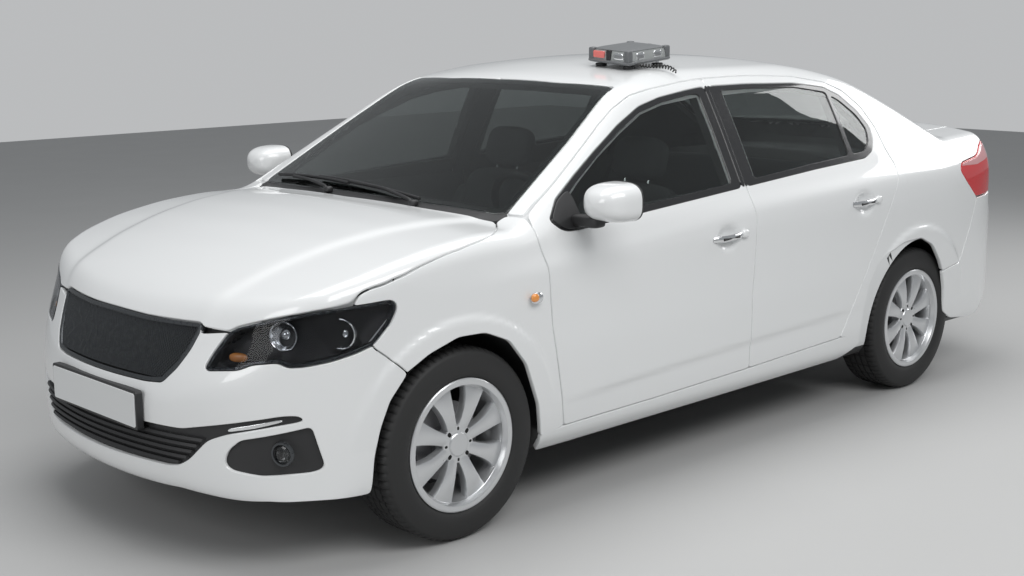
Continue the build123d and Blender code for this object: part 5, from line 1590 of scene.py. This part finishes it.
@dataclass
class Cabin:
    """Seats as padded forms; the dashboard and steering wheel keep their CAD shapes."""

    seat_y: float = 0.365
    lean: float = math.radians(-17)
    fill: float = 0.85

    def cushion(self, name: str, mesh: Mesh, *nodes: str) -> None:
        """Make a padded form that stands for CAD nodes."""
        obj = add_object(name, *mesh, CLOTH)
        settle(obj, "root", "seat_cloth", *nodes)

    def build(self) -> None:
        """Make the seats and the rear bench."""
        for side in Side:
            y = side.value * self.seat_y
            base = pillow((0.40, y, 0.385), (0.235, 0.245, 0.075), 0.42)
            back = self.tilt(pillow((0, 0, 0), (0.060, 0.235, 0.290), 0.45), (0.135, y, 0.70), self.lean)
            head = self.tilt(pillow((0, 0, 0), (0.045, 0.125, 0.085), 0.60), (0.045, y, 1.075), self.lean)
            posts = joined([tube([(0.075, y + k, 0.93), (0.052, y + k, 1.04)], 0.006, 10, 1)
                            for k in (-0.06, 0.06)])
            wings = joined([self.tilt(pillow((0, 0, 0), (0.055, 0.040, 0.230), 0.6),
                                      (0.165, y + k, 0.68), self.lean) for k in (-0.215, 0.215)])
            nodes = ("front_seats",) if side is Side.LEFT else ()
            self.cushion(f"seat_base_{side.word}", base, *nodes)
            for name, mesh in (("seat_back", back), ("headrest", head), ("seat_bolsters", wings)):
                self.cushion(f"{name}_{side.word}", mesh)
            settle(add_object(f"headrest_posts_{side.word}", *posts, CHROME), "root",
                   "chassis_steel")
        base = pillow((-0.70, 0, 0.405), (0.225, 0.615, 0.085), 0.35)
        back = self.tilt(pillow((0, 0, 0), (0.065, 0.610, 0.290), 0.35), (-1.015, 0, 0.69), self.lean)
        self.cushion("bench_base", base, "rear_bench")
        self.cushion("bench_back", back)

    @staticmethod
    def tilt(mesh: Mesh, place: Points,
             angle: float) -> Mesh:
        """Lean a form about the Y axis and move it to its place.

        Args:
            mesh: the form, about the origin.
            place: where its origin goes.
            angle: turn about +Y, in radians.

        Returns:
            The moved mesh.
        """
        v, f = mesh
        c, s = math.cos(angle), math.sin(angle)
        turned = np.stack([v[:, 0] * c + v[:, 2] * s, v[:, 1], v[:, 2] * c - v[:, 0] * s], axis=1)
        return turned + np.asarray(place), f


CORD_ROUTE = [(0.158, 0.456, 1.441), (0.140, 0.468, 1.437), (0.110, 0.485, 1.436),
              (0.090, 0.515, 1.435), (0.080, 0.549, 1.429), (0.076, 0.568, 1.412)]


@dataclass
class Beacon:
    """Roof beacon with lens panels in a dark frame, on magnet feet, and its curly cord."""

    place: tuple[float, float, float] = (0.090, 0.345, 1.452)
    turns: int = 13
    scale: tuple[float, float, float] = (1.10, 1.08, 0.93)
    coil: float = 0.0062
    wire: float = 0.0026
    foot_radius: float = 0.022
    pin_radius: float = 0.007

    def world(self, v: Array) -> Array:
        """Move points from the beacon's own frame, tilted with the roof, to the car's.

        Args:
            v: points in the beacon's frame.

        Returns:
            The points in the row frame.
        """
        z = np.array([0.08, 0.073, 1.0])
        z /= np.linalg.norm(z)
        x = np.array([1.0, 0.0, -0.08])
        x -= z * (x @ z)
        x /= np.linalg.norm(x)
        y = np.cross(z, x)
        v = v * self.scale
        return v[:, :1] * x + v[:, 1:2] * y + v[:, 2:] * z + np.asarray(self.place)

    def layer(self, sections: Points) -> Mesh:
        """Stack rounded rectangles into a block.

        Args:
            sections: half length, half width, corner and height of each rectangle.

        Returns:
            The mesh, in the row frame.
        """
        turn = np.linspace(0, 2 * np.pi, 72, endpoint=False)
        c, s = np.cos(turn), np.sin(turn)
        rings = []
        for hx, hy, corner, z in sections:
            rings.append(np.stack([(hx - corner) * np.sign(c) + corner * c,
                                   (hy - corner) * np.sign(s) + corner * s, np.full(72, z)], axis=1))
        v, f = skin_rings(np.array(rings))
        return self.world(v), f

    def block(self, center: Points, half: Points, power: float = 0.25) -> Mesh:
        """Return a rounded block in the beacon's frame."""
        v, f = pillow(center, half, power, 14, 28)
        return self.world(v), f

    def build(self) -> None:
        """Make the beacon's hard pieces."""
        base = self.layer([(0.112, 0.098, 0.02, 0.004), (0.117, 0.102, 0.025, 0.008),
                           (0.117, 0.102, 0.025, 0.013), (0.113, 0.098, 0.025, 0.016)])
        lens = self.layer([(0.108, 0.093, 0.02, 0.014), (0.104, 0.089, 0.025, 0.044),
                           (0.099, 0.084, 0.03, 0.056), (0.085, 0.070, 0.035, 0.0605),
                           (0.050, 0.045, 0.03, 0.0625)])
        roof = self.layer([(0.101, 0.086, 0.03, 0.0555), (0.100, 0.085, 0.03, 0.0575),
                           (0.086, 0.071, 0.035, 0.0618), (0.050, 0.045, 0.03, 0.0635)])
        posts = joined([self.block((sx * 0.098, sy * 0.083, 0.035), (0.012, 0.011, 0.026))
                        for sx in (-1, 1) for sy in (-1, 1)])
        bars = joined([self.block((0.105, 0.0, 0.036), (0.006, 0.010, 0.022)),
                       self.block((-0.105, 0.0, 0.036), (0.006, 0.010, 0.022))])
        red = joined([self.block((0.1055, -0.046, 0.036), (0.0045, 0.026, 0.014), 0.2),
                      self.block((-0.1055, -0.046, 0.036), (0.0045, 0.026, 0.014), 0.2)])
        inner = joined([self.block((x, 0.088, 0.034), (0.020, 0.006, 0.015), 0.4)
                        for x in (-0.045, 0.045)]
                       + [self.block((0.103, 0.045, 0.034), (0.006, 0.022, 0.014), 0.4)])
        feet, pins = [], []
        for x in (-0.075, 0.075):
            for y in (-0.065, 0.065):
                spot = self.world(np.array([[x, y, 0.0]]))[0]
                ground = float(on_top([(spot[0] / MM, spot[1] / MM)])[0, 2])
                wide, thin = self.foot_radius, self.pin_radius
                foot = [(POLE, 0.0005), (wide - 0.001, 0.0005), (wide, 0.003), (wide, 0.009),
                        (wide - 0.004, 0.011), (POLE, 0.011)]
                head = spot[2] + 0.008 - ground
                pin = [(POLE, 0.010), (thin, 0.010), (thin, head), (POLE, head)]
                for section, sides, meshes in ((foot, 32, feet), (pin, 20, pins)):
                    v, f = lathe(section, sides)
                    meshes.append((v[:, [0, 2, 1]] + (spot[0], spot[1], ground), f))
        gland = tube([np.array(CORD_ROUTE[0]) + (0.016, -0.011, 0.004), CORD_ROUTE[0]], 0.0085, 16, 1)
        items = (("beacon_base", base, BEACON_GREY, ("beacon",)), ("beacon_lens", lens, BEACON_LENS, ()),
                 ("beacon_roof", roof, BEACON_GREY, ()), ("beacon_posts", posts, BEACON_GREY, ()),
                 ("beacon_bars", bars, BLACK, ()), ("beacon_red_panels", red, BEACON_RED, ()),
                 ("beacon_lamps", inner, REFLECTOR, ()), ("beacon_feet", joined(feet), BLACK, ()),
                 ("beacon_pins", joined(pins), CHROME, ()), ("beacon_gland", gland, BLACK, ()))
        for name, mesh, finish, nodes in items:
            settle(add_object(name, *mesh, finish), "root", "beacon_lens", *nodes)

    def cord(self) -> None:
        """Make the curly cord as a helix along the route's own spline."""
        data = bpy.data.curves.new("beacon_cord_line", "CURVE")
        data.dimensions = "3D"
        spline = data.splines.new("NURBS")
        spline.points.add(len(CORD_ROUTE) - 1)
        for point, place in zip(spline.points, CORD_ROUTE):
            point.co = (*place, 1.0)
        spline.order_u = 3
        spline.use_endpoint_u = True
        spline.resolution_u = 24
        line = bpy.data.objects.new("beacon_cord_line", data)
        mesh = bpy.data.meshes.new_from_object(line)
        path = np.array([v.co[:] for v in mesh.vertices])
        bpy.data.objects.remove(line)
        path = resample(path, 0.0009)
        way = np.gradient(path, axis=0)
        way /= np.linalg.norm(way, axis=1, keepdims=True)
        side = np.cross(way, (0.0, 0.0, 1.0))
        side /= np.linalg.norm(side, axis=1, keepdims=True)
        up = np.cross(side, way)
        t = np.linspace(0, 1, len(path))
        reach = self.coil * np.clip(np.minimum(t, 1 - t) / 0.06, 0, 1)[:, None]
        turn = (2 * np.pi * self.turns * t)[:, None]
        helix = path + reach * (np.cos(turn) * side + np.sin(turn) * up)
        v, f = self.wire_tube(helix)
        obj = add_object("beacon_cord_coil", v, f, RUBBER)
        settle(obj, "root", "cord_rubber", "beacon_cord")

    def wire_tube(self, line: Array) -> Mesh:
        """Carry the wire's circle along every point of a line.

        Args:
            line: points along the middle of the wire.

        Returns:
            The mesh.
        """
        way = np.gradient(line, axis=0)
        way /= np.linalg.norm(way, axis=1, keepdims=True)
        a = np.cross(way, (0.1, 0.2, 1.0))
        a /= np.linalg.norm(a, axis=1, keepdims=True)
        b = np.cross(way, a)
        turn = np.linspace(0, 2 * np.pi, 8, endpoint=False)
        ring = np.cos(turn)[None, :, None] * a[:, None] + np.sin(turn)[None, :, None] * b[:, None]
        return skin_rings(line[:, None] + self.wire * ring)


def dress_kept_nodes() -> None:
    """Give the CAD nodes that stay their finishes."""
    kept = {"dashboard": DASH, "steering_wheel": DASH, "engine_block": CAST, "exhaust": PIPE,
            "front_axle": STEEL, "rear_axle": STEEL, "knuckle_left": STEEL, "knuckle_right": STEEL}
    for node, finish in kept.items():
        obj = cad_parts[node]
        if not obj.material_slots:
            obj.data.materials.append(finish.material())
        for slot in obj.material_slots:
            slot.material = finish.material()


@dataclass
class Studio:
    """Camera, floor, lights and background."""

    place: tuple[float, float, float] = (4.3196, 4.0902, 1.6497)
    forward: tuple[float, float, float] = (-0.680, -0.708, -0.189)
    right: tuple[float, float, float] = (-0.720, 0.693, -0.006)
    focal_px: float = 1448.4
    width_px: float = 1024.0
    sensor_mm: float = 36.0
    floor_half: float = 14.0
    fill_color: tuple[float, float, float] = (0.80, 0.83, 0.86)
    fill_strength: float = 0.38
    back_color: tuple[float, float, float] = (0.62, 0.63, 0.64)
    back_strength: float = 0.8

    def camera(self) -> None:
        """Place the camera where the photograph was taken."""
        data = bpy.data.cameras.new("camera")
        data.sensor_width = self.sensor_mm
        data.lens = self.focal_px / self.width_px * self.sensor_mm
        data.clip_end = 100.0
        obj = bpy.data.objects.new("camera", data)
        bpy.context.scene.collection.objects.link(obj)
        f = Vector(self.forward).normalized()
        r = Vector(self.right)
        r = (r - f * r.dot(f)).normalized()
        u = r.cross(f)
        obj.matrix_world = Matrix(((r.x, u.x, -f.x, self.place[0]), (r.y, u.y, -f.y, self.place[1]),
                                   (r.z, u.z, -f.z, self.place[2]), (0, 0, 0, 1)))
        bpy.context.scene.camera = obj

    def light(self, name: str, place: Points, target: Points, size: tuple[float, float],
              power: float) -> None:
        """Add a soft rectangular light.

        Args:
            name: its name.
            place: its middle.
            target: the point that it faces.
            size: its width and height.
            power: its power in watts.
        """
        data = bpy.data.lights.new(name, "AREA")
        data.shape = "RECTANGLE"
        data.size, data.size_y, data.energy = size[0], size[1], power
        obj = bpy.data.objects.new(name, data)
        obj.location = place
        obj.rotation_euler = (Vector(target) - Vector(place)).to_track_quat("-Z", "Y").to_euler()
        bpy.context.scene.collection.objects.link(obj)

    def build(self) -> None:
        """Set up the floor, the lights and the background."""
        h = self.floor_half
        v = np.array([(-h, -h, 0.0), (h, -h, 0.0), (h, h, 0.0), (-h, h, 0.0)])
        floor = add_object("studio_floor", v, [[0, 1, 2, 3]], FLOOR, np.tile([0.0, 0.0, 1.0], (4, 1)))
        self.light("key", (1.5, 4.5, 4.6), (0.2, 0, 0.6), (5.0, 2.6), 180.0)
        self.light("top", (0.0, -0.4, 5.2), (0, 0, 0.6), (6.0, 3.0), 165.0)
        self.light("front", (6.4, 0.6, 2.6), (1.6, 0, 0.6), (2.4, 2.4), 60.0)
        self.light("rear", (-5.8, 1.4, 3.2), (-1.0, 0, 0.7), (3.0, 2.0), 80.0)
        self.backdrop()

    def backdrop(self) -> None:
        """Give the world a soft fill light and a pale background for the camera."""
        world = bpy.data.worlds.new("studio")
        world.use_nodes = True
        tree = world.node_tree
        tree.nodes.clear()
        out = tree.nodes.new("ShaderNodeOutputWorld")
        mix = tree.nodes.new("ShaderNodeMixShader")
        path = tree.nodes.new("ShaderNodeLightPath")
        tree.links.new(path.outputs["Is Camera Ray"], mix.inputs["Fac"])
        shades = ((self.fill_color, self.fill_strength), (self.back_color, self.back_strength))
        for socket, (color, strength) in enumerate(shades, start=1):
            shade = tree.nodes.new("ShaderNodeBackground")
            shade.inputs["Color"].default_value = (*color, 1.0)
            shade.inputs["Strength"].default_value = strength
            tree.links.new(shade.outputs[0], mix.inputs[socket])
        tree.links.new(mix.outputs[0], out.inputs["Surface"])
        bpy.context.scene.world = world
        bpy.context.scene.view_settings.view_transform = "Standard"


def main() -> None:
    """Build every sub-assembly."""
    logging.basicConfig(level=logging.INFO, format="%(name)s: %(message)s")
    studio, beacon = Studio(), Beacon()
    studio.camera()
    beacon.cord()
    beacon.build()
    Structure().build()
    Bodywork().build()
    Glazing().build()
    Wheel().build()
    Lamps().build()
    Front().build()
    Fittings().build()
    Cabin().build()
    dress_kept_nodes()
    studio.build()


if __name__ == "__main__":
    main()
